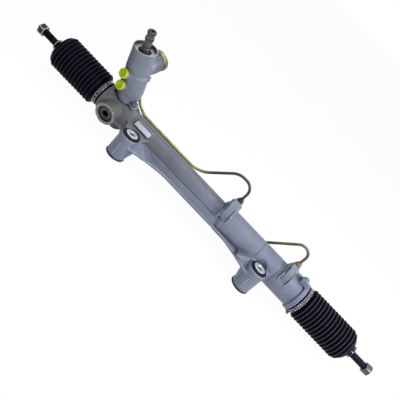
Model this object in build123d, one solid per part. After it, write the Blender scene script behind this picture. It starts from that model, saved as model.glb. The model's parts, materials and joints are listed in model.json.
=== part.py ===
from build123d import *
import os
from math import acos, atan, cos, degrees, pi, radians, sin, sqrt, tan

os.makedirs("parts", exist_ok=True)

# A hydraulic power rack and pinion steering gear. X runs along the rack, -Y faces the front, +Z runs
# up the two mounting bolts. The origin lies midway between the bolts, on the lower seat plane.

# mounts
bolt_spacing = 390.0
bolt_hole_r = 6.25
mount_height = 66.0
sleeve_r = 22.5
sleeve_cut_low = 5.0
sleeve_cut_top = 5.5
bush_bore_r = 17.5
bush_flange_top_r = 20.5
bush_flange_low_r = 22.0
steel_sleeve_r = 10.0
washer_r = 14.5
washer_t = 2.0
neck_half = 19.0
neck_root = 42.0
neck_low_front = 36.0
neck_low_back = 30.0
neck_front_z = 57.5
neck_step_y = 14.0
neck_rise_y = 26.0
neck_top = 68.0
gusset_reach = 10.0
gusset_front = -12.0
gusset_back = 30.0
fan_reach = 65.0
fan_top = 67.0
fan_front = -10.0

# rack axis and stations along it
rack_y = 52.0
rack_z = 58.0
left_end = -332.0
left_collar = -306.0
left_collar_width = 14.0
tube_left = -226.0
cylinder_start = 56.0
cylinder_taper = 12.0
groove_x = 293.0
groove_width = 4.0
right_collar = 307.0
right_end = 334.0
mesh_x = -266.0
guide_shift = 4.5

# castings
gear_r = 31.5
gear_low_r = 27.0
left_collar_r = 32.0
left_seat_r = 28.0
tube_r = 26.0
cylinder_r = 34.0
groove_depth = 1.2
right_collar_r = 38.0
right_seat_r = 32.5
tube_bore_r = 20.5
cylinder_bore_r = 27.0
socket_bay_r = 21.0
socket_bay_depth = 14.0
pad_x = -190.5
pad_length = 45.0
pad_width = 14.0
pad_turn = 50.0
pad_low = 22.0
pad_top = 29.0

# longitudinal flange under the front of the casting
flange_top = 46.0
flange_t = 6.0
flange_y = 15.0
flange_flare = 105.0
flange_slope_z = 61.0
flange_slope_inset = 5.0
lip_width_y = 3.0
lip_height = 1.5
spine_lead = 6.0
spine_front = 5.0
spine_back = 9.0
spine_top = 27.3
flange_end_in = 8.0
flange_end_back = 3.0
flange_end_slope = 0.35

# rack bar, piston and travel
rack_travel = 73.0
rack_r = 14.0
rack_clear = 0.05
bore_clear = 2.0
piston_width = 16.0
piston_r = 26.6
piston_ring_width = 3.0
piston_ring_depth = 2.2
ring_clear = 0.06
cylinder_low = 62.0
cylinder_high = 262.0
seal_width = 9.0
seal_r = 20.5
bush_width = 14.0
rack_bush_r = 17.0

# rack and pinion mesh
pinion_teeth = 7
normal_module = 2.0
pressure_angle = 25.0
pinion_helix = 25.0
pinion_lean = 10.7
guide_lean = 17.0
pitch_line = 9.6
profile_shift = 0.5
rack_addendum = 1.8
rack_dedendum = 2.3
pinion_addendum = 1.75
pinion_dedendum = 2.4
flank_gap = 0.3
pinion_face = 34.0
tooth_margin = 14.0

# pinion, bearings and valve
journal_r = 8.5
lower_journal_r = 7.5
bearing_width = 12.0
lower_bearing_r = 16.0
upper_bearing_r = 17.0
lower_bearing_at = -36.0
upper_bearing_at = 24.0
pinion_low = -52.0
pinion_nut_r = 10.5
pinion_nut_t = 7.0
tower_r = 26.0
tower_low_r = 18.5
tower_low = -56.0
tower_top = 23.0
tower_step = 18.0
tower_draft = 4.0
gear_block = 30.0
boss_draft = 2.0
tooth_room = 5.5
end_cap_r = 15.0
end_cap_t = 5.0
valve_r = 26.5
valve_low_r = 25.5
valve_step_at = 104.0
valve_top = 157.0
valve_bore_r = 19.0
valve_sleeve_r = 18.4
valve_sleeve_low = 45.0
valve_sleeve_len = 58.0
teflon_width = 2.0
shaft_r = 9.5
shaft_tip = 198.0
shaft_bore_r = 5.5
shank_r = 7.8
spline_r = 9.7
spline_len = 22.0
spline_count = 24
pinch_groove_r = 8.2
pinch_groove_w = 6.0
shaft_pilot_r = 12.0
torsion_r = 3.6
torsion_end_r = 5.0
pin_r = 1.75
valve_twist = 4.0
seal_recess = 9.0
seal_recess_r = 24.0
ear_offset = 34.5
ear_turn = 25.0
ear_r = 8.5
ear_t = 12.0
valve_ear_t = 8.0
foot_room = 16.0
ear_bolt_r = 4.0
ear_head_r = 6.5
ear_head_t = 6.0

# hydraulic ports and closing caps on the valve housing
port_low_az = 17.0
port_high_az = 20.0
port_el = 5.0
port_low_at = 52.0
port_high_at = 81.0
port_boss_r = 10.5
port_boss_len = 35.0
port_bore_r = 7.0
port_cap_r = 10.8
port_cap_t = 7.0
port_cap_plug = 7.0
side_boss_at = 97.0
side_boss_r = 21.5
side_boss_root_r = 15.5
side_boss_flare = 20.0
side_boss_len = 58.0
side_cap_r = 23.0
side_cap_t = 12.0
side_cap_depth = 12.0
side_bore_r = 17.0
side_hex_r = 9.0
swell_offset = 6.0
swell_inset = 4.0
swell_top = 113.0
side_boss_along = 0.204
side_boss_away = 0.94
side_boss_up = 0.272
lug_along = 0.97
lug_away = 0.25
left_pipe_along = 0.2
right_pipe_along = -0.37
lug_r = 6.5
lug_reach = 33.0
lug_at = 95.0
pipe_boss_r = 9.5
pipe_boss_len = 29.0
left_pipe_at = 52.0
right_pipe_at = 34.0
pipe_straight = 23.0
seal_t = 9.0
snap_t = 1.6
end_cap_lip = 2.0
needle_at = 108.0
needle_len = 12.0

# pinion head, stop tang and torsion bar
pinion_layers = 8
head_low = 34.0
head_r = 14.0
tang_low = 40.0
tang_half = 10.0
tang_thick = 3.5
torsion_low = -8.0
pin_at = 184.0

# rack guide
yoke_start = 5.0
spring_seat = 6.0
spring_outer_r = 9.0
spring_inner_r = 5.0
spring_t = 1.2
plug_recess = 3.0
plug_hub_r = 12.0
guide_boss_r = 25.5
guide_face = 44.0
guide_bore_r = 18.5
yoke_clear = 0.06
yoke_len = 26.0
plug_t = 12.0
plug_socket_r = 6.0
lock_ring_t = 4.0

# port towers on the power cylinder
port_one_x = 65.0
port_two_x = 250.5
tower_one_h = 57.0
tower_two_h = 52.0
port_tower_r = 10.0
rib_t = 3.2
rib_top_drop = 2.0
rib_back_drop = 5.0
rib_lead = 4.0
rib_shoulder = 12.0
rib_knee = 28.0
rib_foot = 14.0
rib_toe = 6.0
rib_proud = 1.5
rib_gap = 2.2
wing_low = 33.0
wing_mid = 43.0
wing_waist = 2.5
wing_half = 6.0
tower_foot_one = 18.0
tower_foot_two = 15.5
tower_lean_y = 24.0
tower_lean_z = 16.0
pipe_r = 3.2
pipe_nut_r = 7.5
pipe_nut_h = 7.0
hump_one_z = 159.5
hump_two_z = 151.5
left_run_start = -216.0
left_run_end = -43.0
left_run_y = 65.5
left_run_z = 85.8
right_run_start = -214.0
right_run_end = -85.0
right_run_y = 82.0
right_run_z = 64.0
behind_start = -20.0
behind_y = 94.0
behind_z = 60.0
rise_x = 162.0
hump_one_level = 43.0
hump_two_level = 27.0
pipe_depth = 6.0
valve_bend = 8.0
turn_bend = 14.0
dip_bend = 24.0
run_bend = 28.0
long_bend = 60.0
crest_bend = 34.0
top_bend = 16.0
left_drop_bend = 22.0
right_drop_bend = 18.0
stub_x = 287.0
stub_r = 8.5
stub_h = 51.0
stub_low = 33.5
stub_round = 5.0
stub_forward = 6.0
stub_front = 15.0
stub_web = 42.0
band_left = 170.0
band_right = 228.0
band_groove = 1.8
band_depth = 1.0

# inner ball joints and rods
stud_r = 8.5
stud_len = 8.0
mouth_at = 7.0
ball_r = 13.0
ball_clear = 0.06
seat_r = 15.0
socket_r = 18.5
ball_from_socket_face = 25.0
socket_len = 36.0
mouth_r = 11.0
mouth_flare = 35.0
claw_t = 2.5
claw_r = 20.0
rod_neck_r = 6.2
rod_neck_len = 16.0
rod_r = 8.0
left_rod_tip = -516.0
right_rod_tip = 533.0
nut_across = 24.0
left_nut_t = 14.0
right_nut_t = 15.0
left_nut_inset = 4.0

# bellows and clamps
bellows_wall = 2.0
bellows_crest_r = 40.5
bellows_root_r = 37.5
bellows_pitch = 9.0
left_ridges = 12
right_ridges = 13
left_small_end = -451.0
right_small_end = 466.0
small_neck_len = 13.0
small_neck_r = 10.0
clamp_t = 1.4
clamp_width = 10.0
clamp_start = 4.0
lip_width = 17.0
fold_overhang = 3.0
lip_t = 2.4
clip_wire_r = 1.1
clip_pitch = 6.5
clip_ear = 11.0
clip_start = 2.0
clip_band = 8.0
tab_gap = 2.5
tab_t = 1.6
tab_high = 8.0
clamp_ear_high = 6.0
clamp_ear_wide = 9.0
left_ear_turn = 60.0
right_ear_turn = -100.0
part_gap = 0.3
part_fit = 0.05

# directions
lean = radians(guide_lean)
cross = radians(pinion_lean)
guide_dir = Vector(0, -cos(lean), -sin(lean))
across_dir = Vector(0, -sin(lean), cos(lean))
pinion_dir = across_dir * cos(cross) - Vector(1, 0, 0) * sin(cross)
pinion_side = Vector(1, 0, 0) * cos(cross) + across_dir * sin(cross)
helix = radians(pinion_helix)
pinion_pitch_r = pinion_teeth * normal_module / 2 / cos(helix)
centre_distance = pitch_line + pinion_pitch_r + profile_shift
rack_centre = Vector(0, rack_y, rack_z)
mesh_point = Vector(mesh_x, rack_y, rack_z)
pinion_origin = mesh_point - guide_dir * centre_distance

rack_plane = Plane(origin=rack_centre, x_dir=(0, 1, 0), z_dir=(1, 0, 0))
pinion_plane = Plane(origin=pinion_origin, x_dir=pinion_side, z_dir=pinion_dir)
mesh_plane = Plane(origin=mesh_point, x_dir=(1, 0, 0), z_dir=guide_dir)
guide_plane = Plane(origin=mesh_point - Vector(guide_shift, 0, 0), x_dir=(1, 0, 0), z_dir=guide_dir)

bolt_x = bolt_spacing / 2
left_stop_face = left_end + socket_bay_depth - rack_travel - part_gap
right_stop_face = right_end - socket_bay_depth + rack_travel + part_gap
piston_mid = (cylinder_low + cylinder_high) / 2

normal_pitch = pi * normal_module
tooth_tilt = helix - cross
rack_pitch = normal_pitch / cos(tooth_tilt)
tooth_dir = across_dir * cos(tooth_tilt) + Vector(1, 0, 0) * sin(tooth_tilt)
guide_back = guide_dir * -1
thinning = flank_gap / cos(radians(pressure_angle))


def turned(plane, outline):
    """A solid of revolution about the plane's z axis from (along, radius) pairs."""
    points = [(radius, along) for along, radius in outline]
    face = make_face(Polyline(*points, close=True))
    solid = revolve(Plane.XZ * face, Axis.Z, 360)
    return plane * solid


def drum(plane, start, end, radius, end_radius=None):
    """A cylinder or a cone between two stations on the plane's z axis."""
    last = radius if end_radius is None else end_radius
    return turned(plane, [(start, 0), (start, radius), (end, last), (end, 0)])


def ring(plane, start, end, inner, outer):
    """A plain ring between two stations on the plane's z axis."""
    return turned(plane, [(start, inner), (start, outer), (end, outer), (end, inner)])


def hexagon(plane, start, end, across):
    """A hexagonal bar with its corners broken at both ends."""
    corner_r = across / sqrt(3)
    bar = plane * Pos(0, 0, start) * extrude(RegularPolygon(corner_r, 6), end - start)
    chamfered = across / 2
    outline = [(start, 0), (start, chamfered), (start + 1.5, corner_r), (end - 1.5, corner_r)]
    return bar & turned(plane, outline + [(end, chamfered), (end, 0)])


def aimed(origin, direction):
    """A plane at a point with its z axis along a direction."""
    return Plane(origin=origin, z_dir=direction)


def save(name, shape):
    shape.label = name
    export_step(shape, "parts/" + name + ".step")


def port_plane(at, azimuth):
    """The plane of a port boss: its station on the pinion axis, turned towards the left end."""
    turn = radians(azimuth)
    rise = radians(port_el)
    way = Vector(-sin(turn) * cos(rise), -cos(turn) * cos(rise), sin(rise))
    return aimed(pinion_origin + pinion_dir * at, way)


low_port_plane = port_plane(port_low_at, port_low_az)
high_port_plane = port_plane(port_high_at, port_high_az)
away = pinion_dir.cross(pinion_side)
side_boss_dir = (pinion_side * side_boss_along + away * side_boss_away + pinion_dir * side_boss_up).normalized()
side_boss_plane = aimed(pinion_origin + pinion_dir * side_boss_at, side_boss_dir)


slot_half = tang_thick * cos(radians(valve_twist)) + tang_half * sin(radians(valve_twist)) + part_gap
lug_plane = aimed(pinion_origin + pinion_dir * lug_at, pinion_side * lug_along + away * lug_away)
left_far_bend = Vector(-48, 33, 18)
left_near_bend = Vector(-25, 9, 7)
right_far_bend = Vector(-48, 29, 9)
right_near_bend = Vector(-25, 11, 7)
left_pipe_port = aimed(pinion_origin + pinion_dir * left_pipe_at, pinion_side * left_pipe_along + away)
right_pipe_port = aimed(pinion_origin + pinion_dir * right_pipe_at, pinion_side * right_pipe_along + away)
ear_angle = radians(ear_turn)
ear_dir = pinion_side * cos(ear_angle) - away * sin(ear_angle)
ear_plane = Plane(origin=pinion_origin, x_dir=ear_dir, z_dir=pinion_dir)


def flange_outline(inset):
    """Plan of the flange: straight in the middle, flared out to the front of both mounts."""
    near = bolt_x - sleeve_r
    start = near - flange_flare
    reach = sleeve_r - flange_end_back - inset
    end = near + flange_end_in - inset
    front_y = flange_y + inset
    slope = flange_end_slope
    right_front = Spline((start, front_y), (end, -reach), tangents=[(1, 0), (1, -slope)])
    left_front = Spline((-end, -reach), (-start, front_y), tangents=[(1, slope), (1, 0)])
    front = Line((-start, front_y), (start, front_y))
    right_side = Line((end, -reach), (end, rack_y))
    back = Line((end, rack_y), (-end, rack_y))
    left_side = Line((-end, rack_y), (-end, -reach))
    return make_face(left_front + front + right_front + right_side + back + left_side)


def flange():
    """The flange plate with a lip at its front and a sloped band that runs up into the tube."""
    plate = extrude(Pos(0, 0, flange_top - flange_t) * flange_outline(0), flange_t)
    plate -= extrude(Pos(0, 0, flange_top - lip_height) * flange_outline(lip_width_y), 2 * lip_height)
    low = (flange_y + flange_slope_inset, flange_top - lip_height - 1)
    high = (rack_y - tube_r - 0.5, flange_slope_z)
    section = [low, high, (rack_y, flange_slope_z), (rack_y, flange_top - lip_height - 1)]
    return plate + across_rack(section, -bolt_x, bolt_x)


def tube_spine():
    """The flat strip along the top of the tube."""
    section = [(rack_y - spine_front, rack_z), (rack_y - spine_front, rack_z + spine_top),
               (rack_y + spine_back, rack_z + spine_top), (rack_y + spine_back, rack_z)]
    return across_rack(section, tube_left - spine_lead, cylinder_start + cylinder_taper / 2)


def across_rack(points, low, high):
    """A prism along the rack between two stations, from (y, z) points."""
    yz = Plane(origin=(low, 0, 0), x_dir=(0, 1, 0), z_dir=(1, 0, 0))
    return extrude(yz * make_face(Polyline(*points, close=True)), high - low)


def along_rack(points, front, back):
    """A prism across the rack between two depths, from (x, z) points."""
    xz = Plane(origin=(0, front, 0), x_dir=(1, 0, 0), z_dir=(0, -1, 0))
    return extrude(xz * make_face(Polyline(*points, close=True)), back - front, dir=(0, 1, 0))


def mount_neck(x):
    """The neck from the sleeve to the tube, wider and higher at the tube."""
    plan = Polyline((x - neck_half, 0), (x + neck_half, 0), (x + neck_root, rack_y), (x - neck_root, rack_y),
                    close=True)
    profile = [(0, neck_low_front), (0, neck_front_z), (neck_step_y, mount_height - sleeve_cut_top),
               (neck_rise_y, neck_top), (rack_y, neck_top), (rack_y, neck_low_back)]
    return extrude(make_face(plan), 2 * mount_height) & across_rack(profile, x - neck_root, x + neck_root)


def mount_body(side):
    """A mount sleeve with its neck, a gusset below the flange and a sloped fan above it."""
    x = side * bolt_x
    height = mount_height - sleeve_cut_low - sleeve_cut_top
    body = Pos(x, 0, sleeve_cut_low + height / 2) * Cylinder(sleeve_r, height)
    body += mount_neck(x)
    wall = x - side * (sleeve_r - 1)
    gusset = [(x, sleeve_cut_low + 3), (wall, sleeve_cut_low + 3), (wall - side * gusset_reach, flange_top - 1),
              (x, flange_top - 1)]
    body += along_rack(gusset, gusset_front, gusset_back)
    inside = x - side * sleeve_r / 2
    fan = [(x - side * fan_reach, flange_top - 2), (inside, flange_top - 2), (inside, fan_top)]
    slope = [(fan_front, flange_top - 2), (neck_rise_y, neck_top), (rack_y, neck_top), (rack_y, flange_top - 2)]
    low, high = sorted((x - side * fan_reach, inside))
    body += along_rack(fan, fan_front, rack_y) & across_rack(slope, low, high)
    return body


def gear_side():
    """The gear end of the casting: collar, mesh housing, guide boss and pinion tower."""
    body = drum(rack_plane, left_end, left_collar, left_seat_r)
    body += drum(rack_plane, left_collar, left_collar + left_collar_width, left_collar_r)
    body += drum(rack_plane, left_collar + left_collar_width, tube_left, gear_r, gear_low_r)
    body += drum(guide_plane, 0, guide_face, guide_boss_r + boss_draft, guide_boss_r)
    body += drum(pinion_plane, tower_low, pinion_low + tower_step, tower_low_r)
    body += drum(pinion_plane, pinion_low + tower_step, tower_top, tower_r - tower_draft, tower_r)
    block = Box(2 * tower_r, gear_block, centre_distance + tower_r)
    body += mesh_plane * Pos(0, 0, -centre_distance / 2) * block
    return body + blank_pad()


def valve_ears(start, end):
    """Two bolt ears, one on each side of the pinion axis."""
    ears = []
    for side in (-1, 1):
        pad = ear_plane * Pos(side * ear_offset, 0, (start + end) / 2) * Cylinder(ear_r, end - start)
        arm = ear_plane * Pos(side * ear_offset / 2, 0, (start + end) / 2)
        ears.append(pad + arm * Box(ear_offset, 2 * ear_r, end - start))
    return ears[0] + ears[1]


def port_tower(x, height, radius, foot):
    """A port boss on the power cylinder: a waisted wing, a round boss and two ribs down its front."""
    plane = Plane(origin=(x, rack_y, rack_z), z_dir=(0, 0, 1))
    body = drum(plane, 0, height, radius)
    half = [(foot, 0), (foot, wing_low), (radius + wing_waist, wing_mid), (radius - 1, height - rib_top_drop)]
    wing = [(x + across, rack_z + along) for across, along in half]
    wing += [(x - across, rack_z + along) for across, along in half[::-1]]
    body += along_rack(wing, rack_y - wing_half, rack_y + wing_half)
    front = cylinder_r + rib_proud
    rib = [(0, 0), (0, height - rib_back_drop), (-rib_lead, height - rib_back_drop),
           (-radius - rib_proud, height - rib_shoulder), (-front + 2 * rib_proud, rib_knee), (-front, rib_foot),
           (-front + 2 * rib_proud, rib_toe)]
    outline = [(rack_y + y, rack_z + z) for y, z in rib]
    for side in (-1, 1):
        middle = x + side * (radius + rib_gap)
        body += across_rack(outline, middle - rib_t / 2, middle + rib_t / 2)
    lean_way = Vector(0, -tower_lean_y, -tower_lean_z)
    start = Vector(x, rack_y, rack_z + height - radius)
    body += drum(aimed(start, lean_way), 0, lean_way.length, radius - 2, radius - 1)
    return body


def cylinder_side():
    """The power cylinder with its end collar, port towers and stub boss."""
    taper_end = cylinder_start + cylinder_taper
    body = drum(rack_plane, cylinder_start, taper_end, tube_r, cylinder_r)
    body += drum(rack_plane, taper_end, groove_x, cylinder_r)
    body += drum(rack_plane, groove_x, groove_x + groove_width, cylinder_r - groove_depth)
    body += drum(rack_plane, groove_x + groove_width, right_collar, right_collar_r)
    body += drum(rack_plane, right_collar, right_end, right_seat_r)
    body += port_tower(port_one_x, tower_one_h, port_tower_r, tower_foot_one)
    body += port_tower(port_two_x, tower_two_h, port_tower_r - 1, tower_foot_two)
    for line in (band_left, band_right):
        body -= ring(rack_plane, line, line + band_groove, cylinder_r - band_depth, cylinder_r + 1)
    return body + stub_boss()


def stub_boss():
    """The round-topped blind boss beside the second port tower, with its low web."""
    upright = Plane(origin=(stub_x, rack_y - stub_forward, rack_z), z_dir=(0, 0, 1))
    body = turned(upright, [(stub_low, 0), (stub_low, stub_r), (stub_h - stub_round, stub_r),
                            (stub_h - stub_round / 4, stub_r - stub_round / 2), (stub_h, stub_r - stub_round),
                            (stub_h, 0)])
    depth = stub_front - stub_forward
    pad = Box(2 * stub_r, depth, stub_h - stub_low - stub_round)
    body += upright * Pos(0, -depth / 2, (stub_h + stub_low - stub_round) / 2) * pad
    core = Box(2 * stub_r - 2, stub_forward, stub_h - stub_round)
    body += upright * Pos(0, stub_forward / 2, (stub_h - stub_round) / 2) * core
    web = [(port_two_x, rack_z), (stub_x, rack_z), (stub_x, rack_z + stub_web), (port_two_x, rack_z + stub_web)]
    return body + along_rack(web, rack_y - rib_t, rack_y + rib_t)


def blank_pad():
    """The flat raised pad on the gear end, left bare."""
    turn = radians(pad_turn)
    plane = Plane(origin=(pad_x, rack_y, rack_z), x_dir=(1, 0, 0), z_dir=(0, -cos(turn), sin(turn)))
    block = Box(pad_length, pad_width, pad_top - pad_low)
    return plane * Pos(0, 0, (pad_low + pad_top) / 2) * chamfer(block.faces().sort_by(Axis.Z)[-1].edges(), 1)


def rack_housing():
    """One casting from the gear end to the end of the power cylinder."""
    body = drum(rack_plane, tube_left, cylinder_start + 1, tube_r)
    body += flange()
    body += tube_spine()
    body += gear_side()
    body += cylinder_side()
    body += valve_ears(tower_top - ear_t, tower_top)
    for side in (-1, 1):
        body += mount_body(side)
    for side in (-1, 1):
        pocket_low = mount_height - sleeve_cut_top
        body -= Pos(side * bolt_x, 0, pocket_low + 20) * Cylinder(sleeve_r + 1, 40)
        body -= Pos(side * bolt_x, 0, mount_height / 2) * Cylinder(bush_bore_r, mount_height)
    body -= drum(rack_plane, left_end, left_end + socket_bay_depth, socket_bay_r)
    body -= drum(rack_plane, left_end, mesh_x, rack_r + bore_clear)
    body -= drum(rack_plane, mesh_x - 30, cylinder_start - seal_width * 3, tube_bore_r)
    body -= drum(rack_plane, mesh_x, cylinder_start + 1, rack_r + bore_clear)
    body -= drum(rack_plane, cylinder_low - seal_width, cylinder_low, seal_r)
    body -= drum(rack_plane, cylinder_low, right_end, cylinder_bore_r)
    body -= drum(guide_plane, 0, guide_face, guide_bore_r)
    body -= drum(pinion_plane, tower_low, tower_low + end_cap_t, end_cap_r)
    body -= drum(pinion_plane, tower_low, lower_bearing_at + bearing_width / 2, end_cap_r - 1)
    body -= drum(pinion_plane, lower_bearing_at - bearing_width / 2, lower_bearing_at + bearing_width / 2,
                 lower_bearing_r)
    body -= drum(pinion_plane, tower_top, tower_top + foot_room, tower_r + 2)
    body -= valve_ears(tower_top, tower_top + foot_room)
    body -= lip_room()
    body -= drum(pinion_plane, lower_bearing_at, tower_top, pinion_pitch_r + tooth_room)
    body -= drum(pinion_plane, upper_bearing_at - bearing_width / 2, tower_top, upper_bearing_r)
    for side in (-1, 1):
        body -= drum(bolt_plane(side), tower_top - ear_t, tower_top, ear_bolt_r)
    for x in (port_one_x, port_two_x):
        plane = Plane(origin=(x, rack_y, rack_z), z_dir=(0, 0, 1))
        body -= drum(plane, 0, tower_one_h, pipe_r + part_gap)
    return body


def valve_housing():
    """The leaning valve casting with two port bosses, a side chamber and two pipe bosses."""
    body = drum(pinion_plane, tower_top, valve_step_at, valve_low_r)
    body += drum(pinion_plane, valve_step_at, valve_top, valve_r)
    swell = Plane(pinion_plane.origin + pinion_side * swell_offset, pinion_side, pinion_dir)
    body += turned(swell, [(tower_top + valve_ear_t, 0), (tower_top + valve_ear_t, valve_low_r - swell_inset),
                           (port_low_at, valve_low_r), (side_boss_at, valve_low_r - swell_inset / 2),
                           (swell_top, 0)])
    body += valve_ears(tower_top, tower_top + valve_ear_t)
    body += drum(low_port_plane, 0, port_boss_len, port_boss_r)
    body += drum(high_port_plane, 0, port_boss_len, port_boss_r)
    body += turned(side_boss_plane, [(0, 0), (0, side_boss_root_r),
                                     (side_boss_len - side_boss_flare, side_boss_r),
                                     (side_boss_len, side_boss_r), (side_boss_len, 0)])
    body += drum(lug_plane, 0, lug_reach, lug_r)
    for plane in (left_pipe_port, right_pipe_port):
        body += drum(plane, 0, pipe_boss_len, pipe_boss_r)
    body -= drum(pinion_plane, tower_top, upper_bearing_at + bearing_width / 2, upper_bearing_r)
    body -= drum(pinion_plane, tower_top, valve_top, valve_bore_r)
    body -= drum(pinion_plane, valve_top - seal_recess, valve_top, seal_recess_r)
    for plane in (low_port_plane, high_port_plane):
        body -= drum(plane, 0, port_boss_len, port_bore_r)
    for plane in (left_pipe_port, right_pipe_port):
        body -= drum(plane, 0, pipe_boss_len, pipe_r + part_gap)
    body -= drum(side_boss_plane, side_boss_len - side_cap_depth, side_boss_len, side_bore_r)
    seat = tower_top + valve_ear_t
    for side in (-1, 1):
        body -= drum(bolt_plane(side), tower_top, seat, ear_bolt_r)
        body -= drum(bolt_plane(side), seat, seat + 2 * ear_head_t, ear_head_r / cos(pi / 6) + part_gap)
    return body - lip_room()


def lip_room():
    """The free ring round the left seat, where the bellows' lip and its clamp sit."""
    outer = left_seat_r + lip_t + clamp_t + 2 * part_gap
    return ring(rack_plane, left_end, left_collar, left_seat_r, outer)


def bolt_plane(side):
    """The axis of one clamping bolt of the valve housing."""
    return Plane(pinion_origin + ear_dir * (side * ear_offset), ear_dir, pinion_dir)


def valve_bolts():
    """Two hexagon bolts that clamp the valve housing to the gear end."""
    bolts = []
    for side in (-1, 1):
        plane = bolt_plane(side)
        seat = tower_top + valve_ear_t
        head = hexagon(plane, seat, seat + ear_head_t, 2 * ear_head_r)
        bolts.append(head + drum(plane, tower_top - ear_t, seat, ear_bolt_r - part_fit))
    return Compound(children=bolts)


def port_cap(plane):
    """A push-in closing plug with a stepped flange and a dished middle."""
    top = port_boss_len + port_cap_t
    outline = [(port_boss_len - port_cap_plug, 0), (port_boss_len - port_cap_plug, port_bore_r - 0.5),
               (port_boss_len, port_bore_r - part_fit), (port_boss_len, port_cap_r), (top - 2.5, port_cap_r),
               (top, port_cap_r - 2), (top, port_cap_r - 4.5), (top - 1.5, port_cap_r - 5.5), (top - 1.5, 0)]
    return turned(plane, outline)


def side_cap():
    """The plated screw cap that closes the side chamber."""
    inner = side_bore_r - part_fit
    start = side_boss_len - side_cap_depth + 2
    top = side_boss_len + side_cap_t
    body = turned(side_boss_plane, [(start, 0), (start, inner), (side_boss_len, inner),
                                    (side_boss_len, side_cap_r), (top - 2, side_cap_r),
                                    (top, side_cap_r - 2), (top, 0)])
    return body - side_boss_plane * Pos(0, 0, top - 2) * extrude(RegularPolygon(side_hex_r, 6), 4)


def shaft_seal():
    inner = shaft_r + part_fit
    top = valve_top - seal_recess
    outline = [(top - seal_t, inner), (top - seal_t, valve_bore_r - part_fit), (top, valve_bore_r - part_fit),
               (top, inner + 3), (top + 2, inner + 1.5), (top + 2, inner)]
    return turned(pinion_plane, outline)


def snap_ring():
    """The open retaining ring above the shaft seal."""
    low = valve_top - seal_recess
    body = ring(pinion_plane, low + part_fit, low + snap_t, valve_bore_r - 4, seal_recess_r - part_fit)
    return body - pinion_plane * Pos(0, seal_recess_r - 3, low) * Box(7, 10, 4 * snap_t)


def tower_cap():
    """The plug that closes the lower end of the pinion tower."""
    inner = end_cap_r - part_fit
    low = tower_low - end_cap_lip
    body = turned(pinion_plane, [(low, 0), (low, inner + 1), (tower_low, inner + 1), (tower_low, inner),
                                 (tower_low + end_cap_t - 1, inner), (tower_low + end_cap_t - 1, 0)])
    return body - pinion_plane * Pos(0, 0, low) * extrude(RegularPolygon(end_cap_r / 2, 6), end_cap_t / 2)


def bearing(at, inner, outer):
    """A ball bearing as one closed ring with its two face grooves."""
    low = at - bearing_width / 2 + part_fit
    high = at + bearing_width / 2 - part_fit
    wall = (outer - inner) / 3
    body = ring(pinion_plane, low, high, inner, outer)
    for start in (low, high - 1):
        body -= ring(pinion_plane, start, start + 1, inner + wall, outer - wall)
    return body


def involute(radius, base_r):
    angle = acos(base_r / radius)
    return tan(angle) - angle


def pinion_section():
    """The transverse section of the helical pinion with involute flanks."""
    slant = atan(tan(radians(pressure_angle)) / cos(helix))
    base_r = pinion_pitch_r * cos(slant)
    thickness = normal_pitch / 2 / cos(helix) + 2 * profile_shift * tan(slant) - thinning / cos(helix)
    root_r = pinion_pitch_r + profile_shift - pinion_dedendum
    tip_r = pinion_pitch_r + profile_shift + pinion_addendum
    at_pitch = thickness / 2 / pinion_pitch_r + tan(slant) - slant
    step = 2 * pi / pinion_teeth
    radii = [base_r, (base_r + tip_r) / 2, tip_r]
    halves = [at_pitch - involute(radius, base_r) for radius in radii]
    edges = []
    for tooth in range(pinion_teeth):
        middle = -pi / 2 + tooth * step
        foot = (root_r * cos(middle - halves[0]), root_r * sin(middle - halves[0]))
        rise = [(r * cos(middle - h), r * sin(middle - h)) for r, h in zip(radii, halves)]
        fall = [(r * cos(middle + h), r * sin(middle + h)) for r, h in zip(radii, halves)][::-1]
        heel = (root_r * cos(middle + halves[0]), root_r * sin(middle + halves[0]))
        gap = middle + step / 2
        floor = (root_r * cos(gap), root_r * sin(gap))
        after = middle + step - halves[0]
        crest = (tip_r * cos(middle), tip_r * sin(middle))
        edges += [Line(foot, rise[0]), ThreePointArc(*rise), ThreePointArc(rise[2], crest, fall[0])]
        edges += [ThreePointArc(*fall), Line(fall[2], heel)]
        edges += [ThreePointArc(heel, floor, (root_r * cos(after), root_r * sin(after)))]
    return make_face(edges)


def pinion_gear():
    """The pinion: helical teeth, two journals, a threaded tail and the slotted head."""
    section = pinion_section()
    layers = []
    for layer in range(pinion_layers + 1):
        height = -pinion_face / 2 + pinion_face * layer / pinion_layers
        turn = degrees(height * tan(helix) / pinion_pitch_r)
        layers.append(Pos(0, 0, height) * Rot(0, 0, turn) * section)
    body = pinion_plane * loft(layers)
    half = pinion_face / 2
    root_r = pinion_pitch_r + profile_shift - pinion_dedendum
    lower = lower_journal_r - part_fit
    upper = journal_r - part_fit
    body += turned(pinion_plane, [(pinion_low, 0), (pinion_low, lower - 1), (lower_bearing_at, lower),
                                  (-half - 4, lower), (-half, root_r), (-half, 0)])
    body += turned(pinion_plane, [(half, 0), (half, root_r), (half + 1, upper), (head_low, upper),
                                  (head_low, head_r), (valve_sleeve_low, head_r), (valve_sleeve_low, 0)])
    body -= drum(pinion_plane, torsion_low, valve_sleeve_low, torsion_end_r + part_fit)
    slot = Box(2 * tang_half + 1, 2 * slot_half, valve_sleeve_low - tang_low + part_gap)
    body -= pinion_plane * Pos(0, 0, (valve_sleeve_low + tang_low - part_gap) / 2) * slot
    return body


def pinion_nut():
    low = lower_bearing_at - bearing_width / 2 - pinion_nut_t
    body = hexagon(pinion_plane, low, low + pinion_nut_t, 2 * pinion_nut_r * cos(pi / 6))
    return body - drum(pinion_plane, low - 1, low + pinion_nut_t + 1, lower_journal_r)


def groove_stations():
    """Where the four sealing rings of the valve sleeve lie."""
    step = (valve_sleeve_len - 10) / 3
    return [valve_sleeve_low + 5 + step * index - teflon_width / 2 for index in range(4)]


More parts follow.
